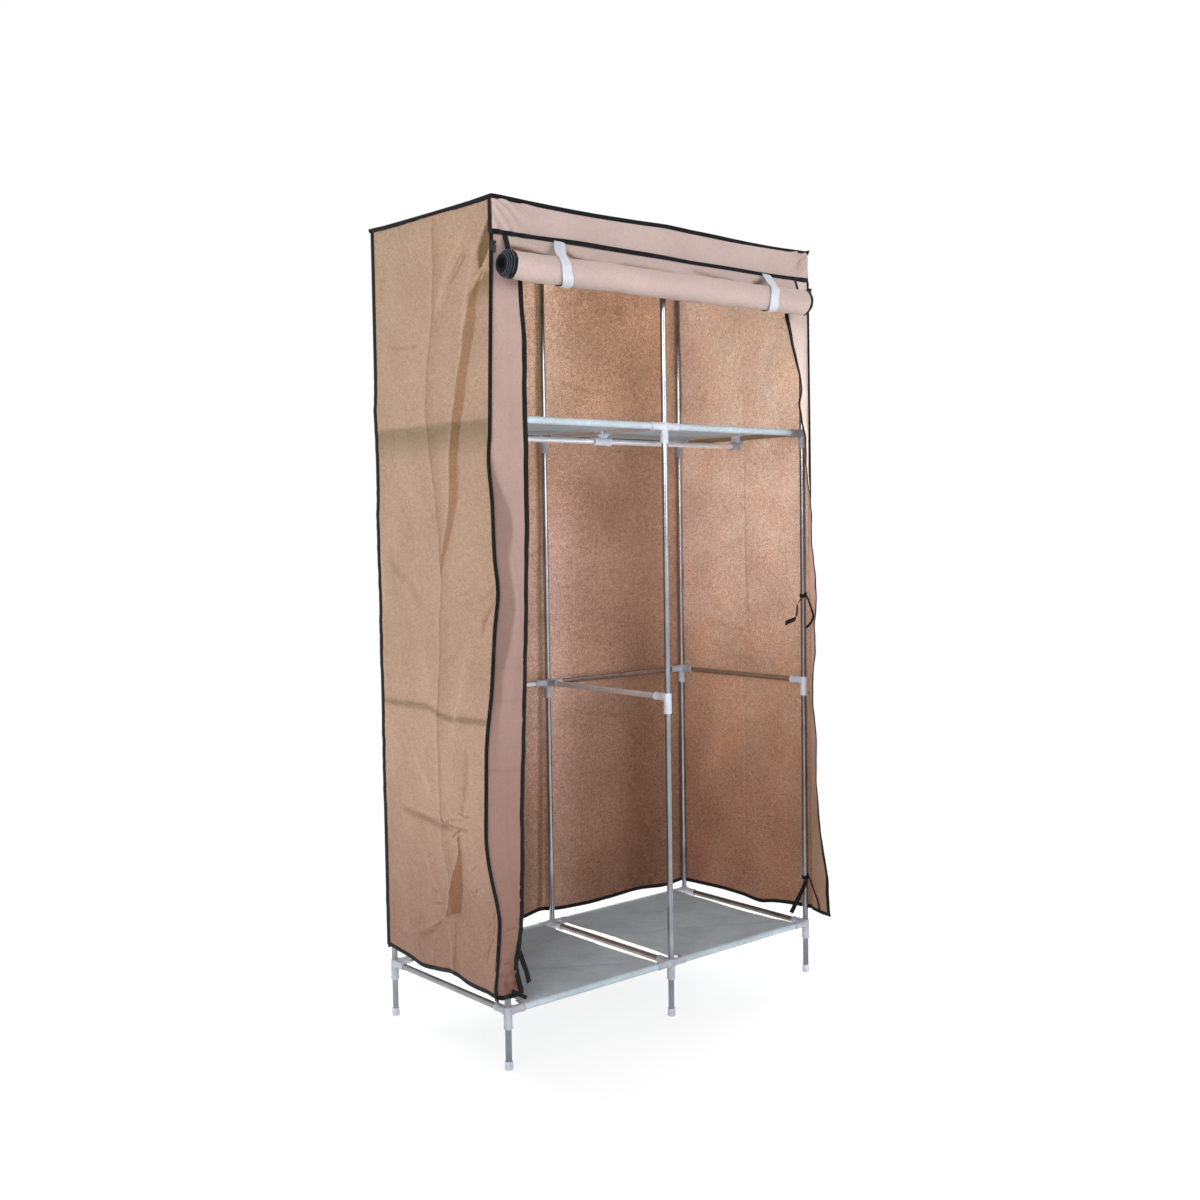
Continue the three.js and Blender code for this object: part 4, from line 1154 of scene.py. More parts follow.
# Sharp little wrinkles, all furrows with painted shade and a painted highlight on a lip beside them.
LEFT_WRINKLES = [
    [(176, 487), (163, 469)], [(161, 474), (133, 482), (103, 488), (73, 494)],
    [(104, 500), (83, 500), (64, 499), (52, 503)], [(160, 473), (133, 470), (110, 471), (87, 473)],
    [(129, 449), (114, 461), (97, 466)], [(233, 290), (186, 299)], [(186, 267), (209, 252), (248, 232)],
    [(63, 392), (38, 408)], [(67, 342), (51, 359)], [(88, 1610), (109, 1588), (131, 1566)],
    [(-9, 955), (6, 963), (20, 974)], [(-9, 950), (10, 949), (26, 945)],
    [(-8, 945), (4, 922), (20, 893), (30, 858)], [(1, 324), (9, 306), (7, 289), (4, 270)],
    [(2, 272), (14, 256), (24, 240), (26, 216)],
]


def left_pleats(out, tint, y, z):
    """The left side with its pressed crease and its slanting pleat of doubled cloth, with painted shade
    along the crease, on the pleat and along its edges.
    """
    gap = line_distance(y, z, PRESSED)[0]
    plain = 1.0 - 0.9 * smooth((z - 262) / 14) * smooth((462 - z) / 20)
    out = out + 3.4 * np.exp(-np.abs(gap) / 24.0) + hill(gap, 3.0) * plain
    shade(tint, 0.28 * hill(gap + 3.0, 3.0) * plain, (0.7, 0.62, 0.5))
    shade(tint, 0.10 * hill(gap + 14.0, 12.0), (0.7, 0.64, 0.55))
    rear = curve_through([(b, a) for a, b in PLEAT_REAR], z)
    spread = curve_through([(973, 1.0), (1150, 0.9), (1250, 0.8), (1430, 0.68), (1562, 0.6)], z)
    fore = lerp(rear, curve_through([(b, a) for a, b in PLEAT_FORE], z), spread)
    inside = (z > PLEAT_LOW) & (z < PLEAT_HIGH)
    over = between(y, fore, rear, 2.5) * inside
    full = smooth((z - PLEAT_LOW) / 120) * smooth((PLEAT_HIGH - z) / 90)
    shade(tint, over, (0.88, 0.81, 0.74))
    shade(tint, 0.42 * hill(y - rear, 2.2) * inside, (0.55, 0.45, 0.35))
    shade(tint, 0.30 * hill(y - fore, 2.0) * inside * full, (0.6, 0.5, 0.4))
    return out + 2.4 * over + 4.0 * hill(y - rear, 12.0) * inside * full


def left_pinch(out, tint, y, z):
    """The left side with the pinched cloth under its top corner, with painted shade on it and below it."""
    rear = curve_through([(1692, -6), (1662, 3), (1634, 18), (1606, 32), (1576, 33), (1550, 27)], z)
    fore = curve_through([(1692, -9), (1640, -9), (1620, -7), (1601, 0), (1578, 13), (1550, 27)], z)
    pinch = between(y, fore, rear, 3) * smooth((z - 1552) / 12)
    shade(tint, pinch, (0.70, 0.66, 0.56))
    under = curve_through([(1566, -6), (1550, -7), (1538, 14), (1526, 36), (1515, 44)], z)
    below = smooth((under + 26 - y) / 8) * smooth((y + 9) / 4)
    below = below * smooth((1566 - z) / 14) * smooth((z - 1490) / 50)
    shade(tint, 0.8 * below, (0.80, 0.76, 0.68))
    past_tape = smooth((y + 6) / 12)
    return creased(out - 3.5 * pinch * past_tape, y, z, PINCH_CREASES, past_tape)


def left_creases(out, tint, y, z, past_tape):
    """The left side with its creases: painted shade in their furrows and a painted highlight on their
    ridges.
    """
    for line, width, height in LEFT_CREASES:
        step = crease(y, z, line, 0.8 * width, 1.9 * height) * past_tape
        out = out + step
        shade(tint, np.clip(-step, 0, 4) * 0.07, (0.6, 0.5, 0.4))
        shade(tint, -np.clip(step, 0, 4) * 0.03, (0.6, 0.5, 0.4))
    return out


def left_fold(out, tint, y, z):
    """The left side with the three-cornered fold over its hem, a flap of doubled cloth with painted shade on
    it and along its edges, and a painted highlight beside its rear edge.
    """
    top = 456
    rear = [(255, 195), (275, 182), (305, 171), (337, 156), (369, 140), (414, 112), (top, 101)]
    fore = [(255, 133), (286, 130), (315, 120), (345, 113), (375, 106), (416, 100), (top, 98)]
    rear, fore = curve_through(rear, z), curve_through(fore, z)
    foot = 286.0 - (y - 135.0) * 0.36
    fold = between(y, fore, rear, 3) * smooth((z - foot) / 5) * (z < top)
    shade(tint, 0.95 * fold, (0.84, 0.74, 0.63))
    low_rear, low_fore = (smooth((z - low) / 8) * (z < top) for low in (268, 288))
    shade(tint, 0.45 * hill(y - rear + 2.0, 2.2) * low_rear, (0.6, 0.5, 0.4))
    shade(tint, -0.22 * hill(y - rear - 5.0, 3.5) * low_rear, (0.6, 0.5, 0.4))
    shade(tint, 0.35 * hill(y - fore, 2.0) * low_fore, (0.62, 0.52, 0.42))
    return out + 4.5 * fold


def left_wrinkles(out, tint, y, z, past_tape):
    """The left side with its sharp little wrinkles."""
    for line in LEFT_WRINKLES:
        gap, along = line_distance(y, z, line)
        ends = line_ends(along, 0.2)
        out = out - 1.6 * hill(gap, 3.4) * ends * past_tape
        shade(tint, 0.34 * hill(gap, 2.4) * ends, (0.6, 0.48, 0.38))
        shade(tint, -0.14 * hill(np.abs(gap) - 5.0, 2.6) * ends, (0.6, 0.5, 0.4))
    return out


def left_light(tint, y, z):
    """The light that the shelf and the middle rail keep off the thin cloth, and the olive tone above."""
    shelf_shade = curve_through([(-14, 1278), (120, 1281), (193, 1279), (395, 1283), (430, 1284)], y)
    below = smooth((shelf_shade - z) / 4.0) * (1 - smooth((shelf_shade - z - 8) / 75.0))
    shade(tint, 0.95 * below, (0.80, 0.82, 0.76))
    rail_shade = curve_through([(-12, 693), (27, 693), (169, 692), (187, 696), (393, 699), (430, 700)], y)
    shade(tint, hill(z - rail_shade, 6.0, 4), (0.79, 0.79, 0.72))
    # Painted shade, darker towards the foot.
    shade(tint, 1 - smooth((z - 180) / 420), (0.84, 0.79, 0.77))
    khaki = smooth((z - 500) / 1100)
    for k, (low, high) in enumerate(((0.975, 1.0), (0.945, 1.015), (0.955, 0.985))):
        tint[..., k] *= lerp(low, high, khaki)


def left_side():
    y, z, out = side_grid("left")
    tint = blank(y)
    past_tape = smooth((y + 6) / 16)
    out = left_pleats(out, tint, y, z)
    out = left_pinch(out, tint, y, z)
    out = left_creases(out, tint, y, z, past_tape)
    out = left_fold(out, tint, y, z)
    out = left_wrinkles(out, tint, y, z, past_tape)
    out = settled(rippled(out, y, z, 3, (1.6, 260.0), (0.9, 85.0), (0.42, 30.0)), y, z)
    left_light(tint, y, z)
    brighten(tint, 0.02 * ripples(y, z, 300.0, 6))
    grid = stack(-out, y, z)[:, ::-1]
    made = cloth("side_cloth_left", grid, OUTSIDE, "cover_cloth", ["cover_side_left"], tint[:, ::-1])
    bindings = [
        binding("hem_binding_side_left", *edge_of(grid, "low"), 8.5, 1.1),
        binding("back_binding_left", *edge_of(grid, "start"), 10.5, 1.3, 3.6),
    ]
    cut_size(grid)
    cut_area(grid)


def painted_by_height(tables, z):
    """Painted light and shade: a tint from red, green and blue tables by height."""
    return stack(*[curve_through(table, z) for table in tables])


# The inner cloth's painted light and shade by height, in red, green and blue: paler above, browner and
# darker near the floor.
RIGHT_PAINTED_LIGHT = [
    [(140, 0.41), (380, 0.5), (650, 0.65), (950, 0.86), (1500, 0.97), (1690, 0.98)],
    [(140, 0.3), (380, 0.39), (650, 0.56), (950, 0.82), (1500, 0.99), (1690, 1.01)],
    [(140, 0.25), (380, 0.33), (650, 0.5), (950, 0.82), (1500, 1.0), (1690, 1.02)],
]
BACK_PAINTED_LIGHT = [
    [(140, 0.42), (380, 0.5), (650, 0.62), (950, 0.71), (1500, 1.02), (1690, 1.04)],
    [(140, 0.32), (380, 0.38), (650, 0.51), (950, 0.6), (1500, 0.96), (1690, 0.98)],
    [(140, 0.27), (380, 0.33), (650, 0.46), (950, 0.57), (1500, 0.89), (1690, 0.91)],
]
# Each crease with its width and its height, and the finer ones, which also get painted shade in their
# furrows.
RIGHT_CREASES = [
    ([(210, 1660), (205, 1200), (212, 700), (206, 160)], 5, 1.8),
    ([(20, 1290), (200, 1284), (400, 1288)], 5, -1.2), ([(20, 700), (200, 696), (400, 702)], 5, -1.0),
    ([(60, 1600), (120, 1480), (150, 1330)], 12, 2.0), ([(330, 1620), (280, 1500), (260, 1400)], 12, -1.8),
    ([(60, 460), (110, 360), (130, 240)], 12, 2.0), ([(300, 980), (240, 900), (220, 800)], 12, 1.6),
    ([(120, 1120), (70, 1020), (50, 900)], 12, -1.6),
]
RIGHT_FINE = [
    ([(404, 910), (370, 916), (336, 915)], 2.0, 1.0),
    ([(357, 815), (290, 816), (216, 809), (186, 800)], 2.0, -1.0),
    ([(206, 1240), (203, 1020), (200, 935), (198, 843), (186, 778)], 2.5, -1.1),
    ([(226, 779), (206, 783), (190, 770), (178, 752)], 2.5, -1.4),
]
BACK_CREASES = [
    ([(-225, 1660), (-220, 900), (-228, 160)], 5, 1.6), ([(222, 1660), (226, 900), (220, 160)], 5, 1.6),
    ([(-430, 1420), (-200, 1412), (200, 1418), (430, 1410)], 4, 1.2),
    ([(-430, 980), (0, 986), (430, 978)], 4, 1.1), ([(-430, 560), (0, 566), (430, 558)], 4, 1.1),
    ([(-60, 1500), (-40, 1200), (-55, 700), (-48, 180)], 9, 2.6),
    ([(-30, 1500), (-14, 1100), (-22, 600), (-18, 180)], 7, -2.0),
]
BACK_FINE = [
    ([(22, 932), (88, 920), (138, 908)], 2.2, -1.3), ([(36, 837), (86, 815), (119, 792)], 2.2, -1.2),
    ([(119, 792), (170, 785), (239, 775)], 2.2, -1.2), ([(60, 1410), (150, 1396), (240, 1400)], 3.0, -1.2),
    ([(90, 620), (200, 600), (300, 604)], 2.5, -1.0),
]


def right_side():
    y, z, out = side_grid("right")
    out = rippled(out, y, z, 21, (1.6, 280.0), (0.7, 95.0), (0.25, 34.0))
    out = creased(out, y, z, RIGHT_CREASES)
    tint = blank(y)
    out = settled(pinched(out, tint, y, z, RIGHT_FINE, 0.16), y, z)
    brighten(tint, 0.04 * ripples(y, z, 240.0, 24))
    redder = ripples(y, z, 110.0, 25)[..., None]
    tint *= (1.0 + 0.022 * redder) ** np.array([-0.2, 1.0, 1.5])
    tint *= painted_by_height(RIGHT_PAINTED_LIGHT, z)
    # Painted shade towards the back corner.
    darken(tint, hill(y - 420.0, 80.0), (0.10, 0.14, 0.14))
    grid = stack(out, y, z)
    made = cloth("side_cloth_right", grid, INSIDE, "cover_cloth", ["cover_side_right"], tint, outer=SUNNY)
    bindings = [
        binding("hem_binding_side_right", *edge_of(grid, "low"), 8.0),
        binding("back_binding_right", *edge_of(grid, "end"), 8.0),
    ]
    cut_size(grid)
    cut_area(grid)


def back_light(tint, x, z):
    """The back's painted light and shade: by height, a painted dusk to the right and under the shelf, a
    painted glow at the middle, its pleat, and painted shade at its corners by the side panels.
    """
    tint *= painted_by_height(BACK_PAINTED_LIGHT, z)
    dusk = [(140, 0.85), (750, 0.85), (925, 0.5), (1115, 0.75), (1300, 0.45), (1450, 0.3), (1690, 0.2)]
    dusk = curve_through(dusk, z) * hill(x - 310.0, 95.0)
    dusk = dusk + 0.45 * np.exp(-(((x - 170.0) / 80.0) ** 2) - ((z - 1130.0) / 90.0) ** 2)
    darken(tint, dusk, (0.34, 0.40, 0.46))
    glow = [(140, 1.0), (640, 1.0), (925, 0.9), (1060, 0.5), (1130, 0.15), (1250, 0.2), (1450, 0.5),
            (1690, 0.5)]
    darken(tint, -curve_through(glow, z) * hill(x - 10.0, 75.0), (0.40, 0.58, 0.80))
    # The pleat of doubled cloth left of the middle upright looks olive where light comes through it.
    darken(tint, hill(x - curve_through(BACK_PLEAT, z), 8.0, 4), 1.0 - np.array([0.62, 0.60, 0.48]))
    corner_shade = hill(x - HALF_WIDTH - 3.0, 6.0) + hill(x + HALF_WIDTH + 3.0, 6.0)
    darken(tint, corner_shade, 1.0 - np.array([0.5, 0.48, 0.42]))


def back_panel():
    u, v = shares(221, 241)
    reach = HALF_WIDTH + COVER_OUT - 0.3
    x = lerp(-reach, reach, u) + 0 * v
    z = lerp(curve_through(HEMS["back"], x), top_height(x, DEPTH) - 0.8, v)
    out = DEPTH + COVER_OUT + 0.4 + 3.0 * np.sin(math.pi * 3 * u) ** 2 * (1 - v)
    waves = creased(rippled(0.0, x, z, 31, (1.6, 300.0), (0.8, 100.0), (0.3, 36.0)), x, z, BACK_CREASES)
    tint = blank(x)
    waves = pinched(waves, tint, x, z, BACK_FINE, 0.2)
    # The posts' joints hold the cloth out.
    held = np.zeros(x.shape)
    for post in ACROSS.values():
        for level in LEVELS.values():
            held = np.maximum(held, smooth((66.0 - np.hypot(x - post, z - level + 14.0)) / 24.0))
    keep = smooth(np.minimum(u, 1 - u) / 0.03)
    out = out + np.maximum(waves * keep, -1.6 + 1.5 * held)
    out = lerp(out[:1], out, smooth((z - z[:1]) / 20.0))
    brighten(tint, 0.05 * ripples(x, z, 240.0, 34))
    back_light(tint, x, z)
    grid = stack(x, out, z)[:, ::-1]
    made = cloth("back_cloth", grid, INSIDE, "cover_cloth", ["cover_back"], tint[:, ::-1])
    hem_tape = binding("hem_binding_back", *edge_of(grid, "low"), 8.0)
    cut_size(grid)
    cut_area(grid)


# The top's edges: each seam's lean, and how high it stands, as (across, height) pairs.
TOP_SEAMS = {
    "front": ("low", (0, -0.5, 0.86), [(-450, 6.5), (150, 6.5), (330, 2.8), (450, 2.4)]),
    "back": ("high", (0, 0.5, 0.86), [(0, 6.5)]),
    "left": ("start", (-0.5, 0, 0.86), [(0, 6.5)]),
    "right": ("end", (0.5, 0, 0.86), [(0, 6.5)]),
}
TOP_CREASES = [([(0, 20), (0, 396)], 6, 1.2), ([(-430, 208), (430, 204)], 5, 1.2)]


def top_panel():
    reach = HALF_WIDTH + COVER_OUT + 1.2
    u, v = shares(181, 91)
    x = lerp(-reach, reach, u) + 0 * v
    y = lerp(-COVER_OUT - 1.2, DEPTH + COVER_OUT + 1.2, v) + 0 * u
    keep = smooth(np.minimum(np.minimum(u, 1 - u) / 0.06, np.minimum(v, 1 - v) / 0.12))
    waves = creased(rippled(0.0, x, y, 41, (0.9, 210.0), (0.4, 70.0)), x, y, TOP_CREASES)
    grid = stack(x, y, top_height(x, y) + 0.6 + np.maximum(waves, -0.4) * keep)
    made = cloth("top_cloth", grid, OUTSIDE, "cover_cloth", ["cover_top"], blank(x))
    edges = [top_fin(f"top_binding_{label}", edge_of(grid, side)[0] - [0, 0, 0.6], lean, heights)
             for label, (side, lean, heights) in TOP_SEAMS.items()]
    cut_size(grid)
    cut_area(grid)


def front_band():
    reach = HALF_WIDTH + COVER_OUT + 1.0
    u, v = shares(281, 41)
    x = lerp(-reach, reach, u) + 0 * v
    low = BAND_BOTTOM + 1.5 * np.sin(math.pi * 2 * u) + 0.8 * ripples(x, 0 * x, 240.0, 51)
    z = lerp(low, top_height(x, -COVER_OUT) - 0.3, v)
    out = -COVER_OUT - 0.6 - 2.2 * np.sin(math.pi * v) * (0.6 + 0.4 * ripples(x, 0 * x, 200.0, 52))
    tint = blank(x)
    # Wrinkles fan out from the sewn corners, with painted shade in their hollows.
    for sign, width, phase in ((-1.0, 90.0, 0.0), (1.0, 45.0, 1.9)):
        away = HALF_WIDTH + COVER_OUT - sign * x
        fan = hill(away, width) * smooth(away / 8)
        angle = np.arctan2(TOP_UNDER + 14 - z, away + 16)
        wave = np.sin(angle * 21.0 + 1.2 * np.sin(away / 17.0) + phase)
        out = out - 3.2 * fan * wave
        darken(tint, 0.16 * fan * np.clip(-wave, 0, 1) * smooth(away / 20), (0.8, 1.0, 1.1))
    # A fold near the right corner, with painted shade along it.
    fold = crease(x, z, [(430, 1688), (424, 1672), (411, 1642)], 6.0, 1.0, 0.3)
    darken(tint, fold, (0.16, 0.24, 0.26))
    out = out + 2.0 * fold
    out = out - 0.8 * ripples(x, z, 60.0, 53) * smooth(np.minimum(v, 1 - v) / 0.15)
    brighten(tint, 0.03 * ripples(x, z, 160.0, 54))
    grid = stack(x, np.minimum(out, -COVER_OUT - 0.4), z)
    made = cloth("band_cloth", grid, FRONT, "cover_cloth", ["cover_front_band"], tint)
    edge, inward = edge_of(grid, "low")
    low_tape = binding("band_binding", edge + [0, -0.6, 0], inward, 8.0, 1.7)
    cut_size(grid)
    cut_area(grid)


def corner_line(side, z):
    return stack(SIGN[side] * (HALF_WIDTH + corner_out(side, z)), -COVER_OUT, z)


def zip_tapes():
    bead = -COVER_OUT - 4.0
    half = 0.8
    for side, sign in SIGN.items():
        line = corner_line(side, np.linspace(HEM, BAND_BOTTOM - 0.3, 1200))
        teeth = 1.2 + 0.22 * np.sign(np.sin(np.arange(len(line)) * math.pi / 2 + 0.4))
        rings = []
        for (x, _, height), r in zip(line, teeth):
            section = [(-half, -COVER_OUT + 0.6), (half, -COVER_OUT + 0.6), (half * 0.8, bead + r * 0.9),
                       (r, bead), (half * 0.8, bead - r * 0.8), (-half * 0.8, bead - r * 0.8), (-r, bead),
                       (-half * 0.8, bead + r * 0.9)]
            rings.append([(x + a, b, height) for a, b in section])
        piece(f"zip_{side}", *loft(rings), BLACK, "black_tape", nodes=[f"zip_tape_{side}"])
        # The tape's flat edge on the side panel. Beside the band it is folded double and shows wider.
        z = np.linspace(HEM + 1, TOP_UNDER - 2, 300)
        line = corner_line(side, np.minimum(z, BAND_BOTTOM))
        line[:, 2] = z
        wide = smooth((z - BAND_BOTTOM + 4.0) / 10.0)
        path = line + stack(sign * 1.8, 2.0 + 1.5 * wide, 0.0)
        strip(f"zip_edge_{side}", path, (0, 1, 0), 4.4 + 4.6 * wide, 0.9, BLACK, "black_tape")


# The flaps' painted light and shade by height, in red, green and blue: paler under the band, browner and
# darker near the floor.
FLAP_PAINTED_LIGHT = {
    "left": [
        [(146, 0.34), (260, 0.44), (800, 0.62), (1500, 0.78), (1630, 0.82)],
        [(146, 0.23), (260, 0.31), (800, 0.52), (1500, 0.71), (1630, 0.77)],
        [(146, 0.18), (260, 0.26), (800, 0.49), (1500, 0.69), (1630, 0.75)],
    ],
    "right": [
        [(146, 0.62), (250, 0.67), (420, 0.76), (900, 1.4), (1350, 1.28), (1630, 1.2)],
        [(146, 0.46), (250, 0.53), (420, 0.6), (900, 1.28), (1350, 1.28), (1630, 1.28)],
        [(146, 0.33), (250, 0.38), (420, 0.44), (900, 1.18), (1350, 1.24), (1630, 1.27)],
    ],
}
# Where the left flap bends away from the light: (height, distance from the corner).
FLAP_BEND = [
    (150, 60), (400, 44), (755, 22), (796, 24), (846, 36), (898, 39), (981, 32), (1011, 32), (1068, 43),
    (1088, 41), (1134, 26), (1190, 9), (1240, -6), (1630, -12),
]
# The left flap's (distance from the corner, height) lines: creases, and little wrinkles near its foot.
FLAP_CREASES = [
    ([(30, 1180), (34, 1000), (50, 860), (40, 700)], 7, 2.0),
    ([(20, 1540), (40, 1300), (36, 1150)], 9, 1.6), ([(10, 800), (80, 795)], 4, 1.2),
    ([(10, 700), (85, 692)], 4, 1.2), ([(10, 610), (80, 604)], 4, -1.0),
    ([(40, 640), (38, 420), (30, 260)], 6, 1.8), ([(10, 300), (60, 270)], 6, 2.0),
    ([(8, 240), (56, 210)], 6, -2.0),
]
FLAP_WRINKLES = [[(10, 285), (22, 281), (33, 286)], [(6, 220), (15, 216), (25, 216)]]


def flap_grid(side):
    sign = SIGN[side]
    u, v = shares(49, 481)
    z = lerp(curve_through([(0, 150), (0.5, 147), (1, 149)], u), BAND_BOTTOM - 0.6, v)
    corner = corner_out(side, z)
    # The flap starts a little behind the zip's bead and turns round it.
    margin = 3.8
    past = np.clip((u - 0.06) / 0.94, 0, 1)
    root = lerp(1.1, margin, np.clip(u / 0.06, 0, 1))
    keep = smooth((u - 0.06) / 0.12)
    if side == "left":
        swing, width, seed = 180.0, corner + curve_through(LEFT_FLAP_EDGE, z), 61
    else:
        swing, width, seed = curve_through(RIGHT_SWING, z), 76.0 + 0 * z, 71
    along = (width - margin) * past
    turn = np.radians(180.0 - swing)
    share = np.clip((z - HEM) / (BAND_BOTTOM - HEM), 0, 1)
    curl = 6.0 * np.sin(math.pi * past) * (1 - share) * np.minimum(1, share / 0.25)
    curl = curl + keep * rippled(0.0, along, z, seed, (1.3, 150.0), (0.6, 55.0))
    if side == "left":
        curl = creased(curl, along, z, FLAP_CREASES, keep)
        curl = creased(curl, along, z, [(line, 3.4, -1.6) for line in FLAP_WRINKLES], keep)
        low_end = smooth((300 - z) / 140)
        curl = curl + keep * low_end * rippled(0.0, along, z, 65, (4.0, 60.0), (2.0, 26.0))
        curl = np.maximum(curl, -1.5)
    inward = root + along * np.cos(turn) - curl * np.sin(turn)
    forward = along * np.sin(turn) + curl * np.cos(turn)
    return stack(sign * (HALF_WIDTH + corner) - sign * inward, -COVER_OUT - forward, z), along


def left_flap_light(tint, along, z):
    """The left flap's painted shade behind its bend and painted light before it, painted shade along its
    pressed lines, and painted shade and highlights on the crumpled cloth and wrinkles near its foot.
    """
    above = smooth((z - 560) / 240)
    bent = smooth((curve_through(FLAP_BEND, z) + 2.0 - along) / 11.0) * above
    darken(tint, bent, (0.27, 0.32, 0.35))
    for pressed in (799.0, 736.0, 601.0):
        brighten(tint, -0.11 * hill(z - pressed + 0.08 * along, 4.0))
    brighten(tint, (1.0 - bent) * 0.08 * above)
    crumple = smooth((225 - z) / 40)
    crumple = crumple * (1.0 + ripples(along, z, 24.0, 69)) * lerp(0.35, 1.25, smooth((along - 8.0) / 14.0))
    darken(tint, crumple, (0.13, 0.2, 0.22))
    brighten(tint, 0.16 * smooth((262 - z) / 30) * smooth((26.0 - along) / 12.0))
    for line in FLAP_WRINKLES:
        furrow, lip = crease(along, z, line, 2.4, 0.3), crease(along, z + 5.0, line, 3.0, 0.16)
        tint *= (1.0 - furrow + lip)[..., None]


def flap(side):
    grid, along = flap_grid(side)
    z = grid[..., 2]
    tint = painted_by_height(FLAP_PAINTED_LIGHT[side], z)
    if side == "left":
        left_flap_light(tint, along, z)
    brighten(tint, 0.02 * ripples(along, z, 140.0, 68))
    made = cloth(f"flap_cloth_{side}", grid, FRONT, "cover_cloth", [f"front_flap_{side}"], tint)
    tapes = [
        binding(f"flap_binding_{side}", *edge_of(grid, "end"), 11.0, 1.1),
        binding(f"flap_hem_{side}", *edge_of(grid, "low"), 8.0, 1.0),
    ]
    cut_size(grid)
    cut_area(grid)


# Rolled door


# Each strap's centre line over the roll's front, as (height, place across) pairs.
STRAPS = {
    "left": [(1632, -290), (1609, -313), (1592, -326), (1570, -329), (1552, -325), (1535, -312)],
    "right": [(1632, 309), (1603, 281), (1581, 266), (1563, 261), (1552, 265), (1541, 275)],
}
# How far the roll's turns reach to the left and to the right: (turns, place across) pairs.
# At the left they stand out like a telescope, a few turns at a time.
ROLL_LEFT_STEPS = [
    (-1, -424.5), (-0.4, -428.5), (0, -434), (0.3, -448), (1.6, -448.5), (1.8, -452), (3.6, -452.5),
    (3.8, -455.5), (5.6, -456), (5.8, -458.5), (7.6, -459), (7.8, -460), (ROLL_TURNS, -461),
]
ROLL_RIGHT_STEPS = [(-1, 408.5), (0, 398.0), (0.3, ROLL_RIGHT - 2.0), (ROLL_TURNS, ROLL_RIGHT - 5.0)]
# Where a group of turns stands out: its first turn.
ROLL_GROUPS = (0.32, 1.8, 3.8, 5.8)
# Folds of the door sheet under the band: (across, height) lines, each with its width and its height.
DOOR_FOLDS = [
    ([(-425, 1606), (-390, 1603), (-355, 1598), (-318, 1592)], 5.0, -5.0),
    ([(-400, 1618), (-360, 1612), (-320, 1604)], 6.0, 3.0),
    ([(-285, 1616), (-262, 1602), (-232, 1596), (-190, 1593)], 5.0, -4.0),
    ([(-150, 1602), (-60, 1600), (20, 1598)], 6.0, -2.0),
    ([(60, 1618), (130, 1606), (200, 1602)], 6.0, -2.0),
    ([(252, 1602), (276, 1609), (298, 1620)], 6.0, -4.0),
    ([(300, 1606), (350, 1600), (395, 1600)], 5.0, -2.5),
]


def door_path():
    """The rolled sheet's line in the YZ plane, as (y, z) pairs, and how far round it is wound."""
    turn_steps, hang_steps = 26, 22
    start = np.array([-COVER_OUT - 0.6 - 0.3 - 0.7, BAND_BOTTOM - 0.3])
    centre = np.array([ROLL_Y, ROLL_Z])
    outer, core = ROLL_RADIUS - 0.6, 11.3
    line = start - centre
    angle = math.atan2(line[1], line[0]) - math.acos(outer / np.linalg.norm(line))
    share = np.linspace(0, 1, int(ROLL_TURNS * turn_steps) + 1)
    spiral = centre + arc(lerp(outer, core, share), angle - math.tau * ROLL_TURNS * share)
    drop = np.linspace(0, 1, hang_steps + 1)[:-1, None]
    hang = lerp(start, spiral[0], drop) - np.array([6.5, 0]) * np.sin(math.pi * drop) ** 1.4
    return np.concatenate([hang, spiral]), np.concatenate([drop[:, 0] - 1.0, share * ROLL_TURNS]), centre


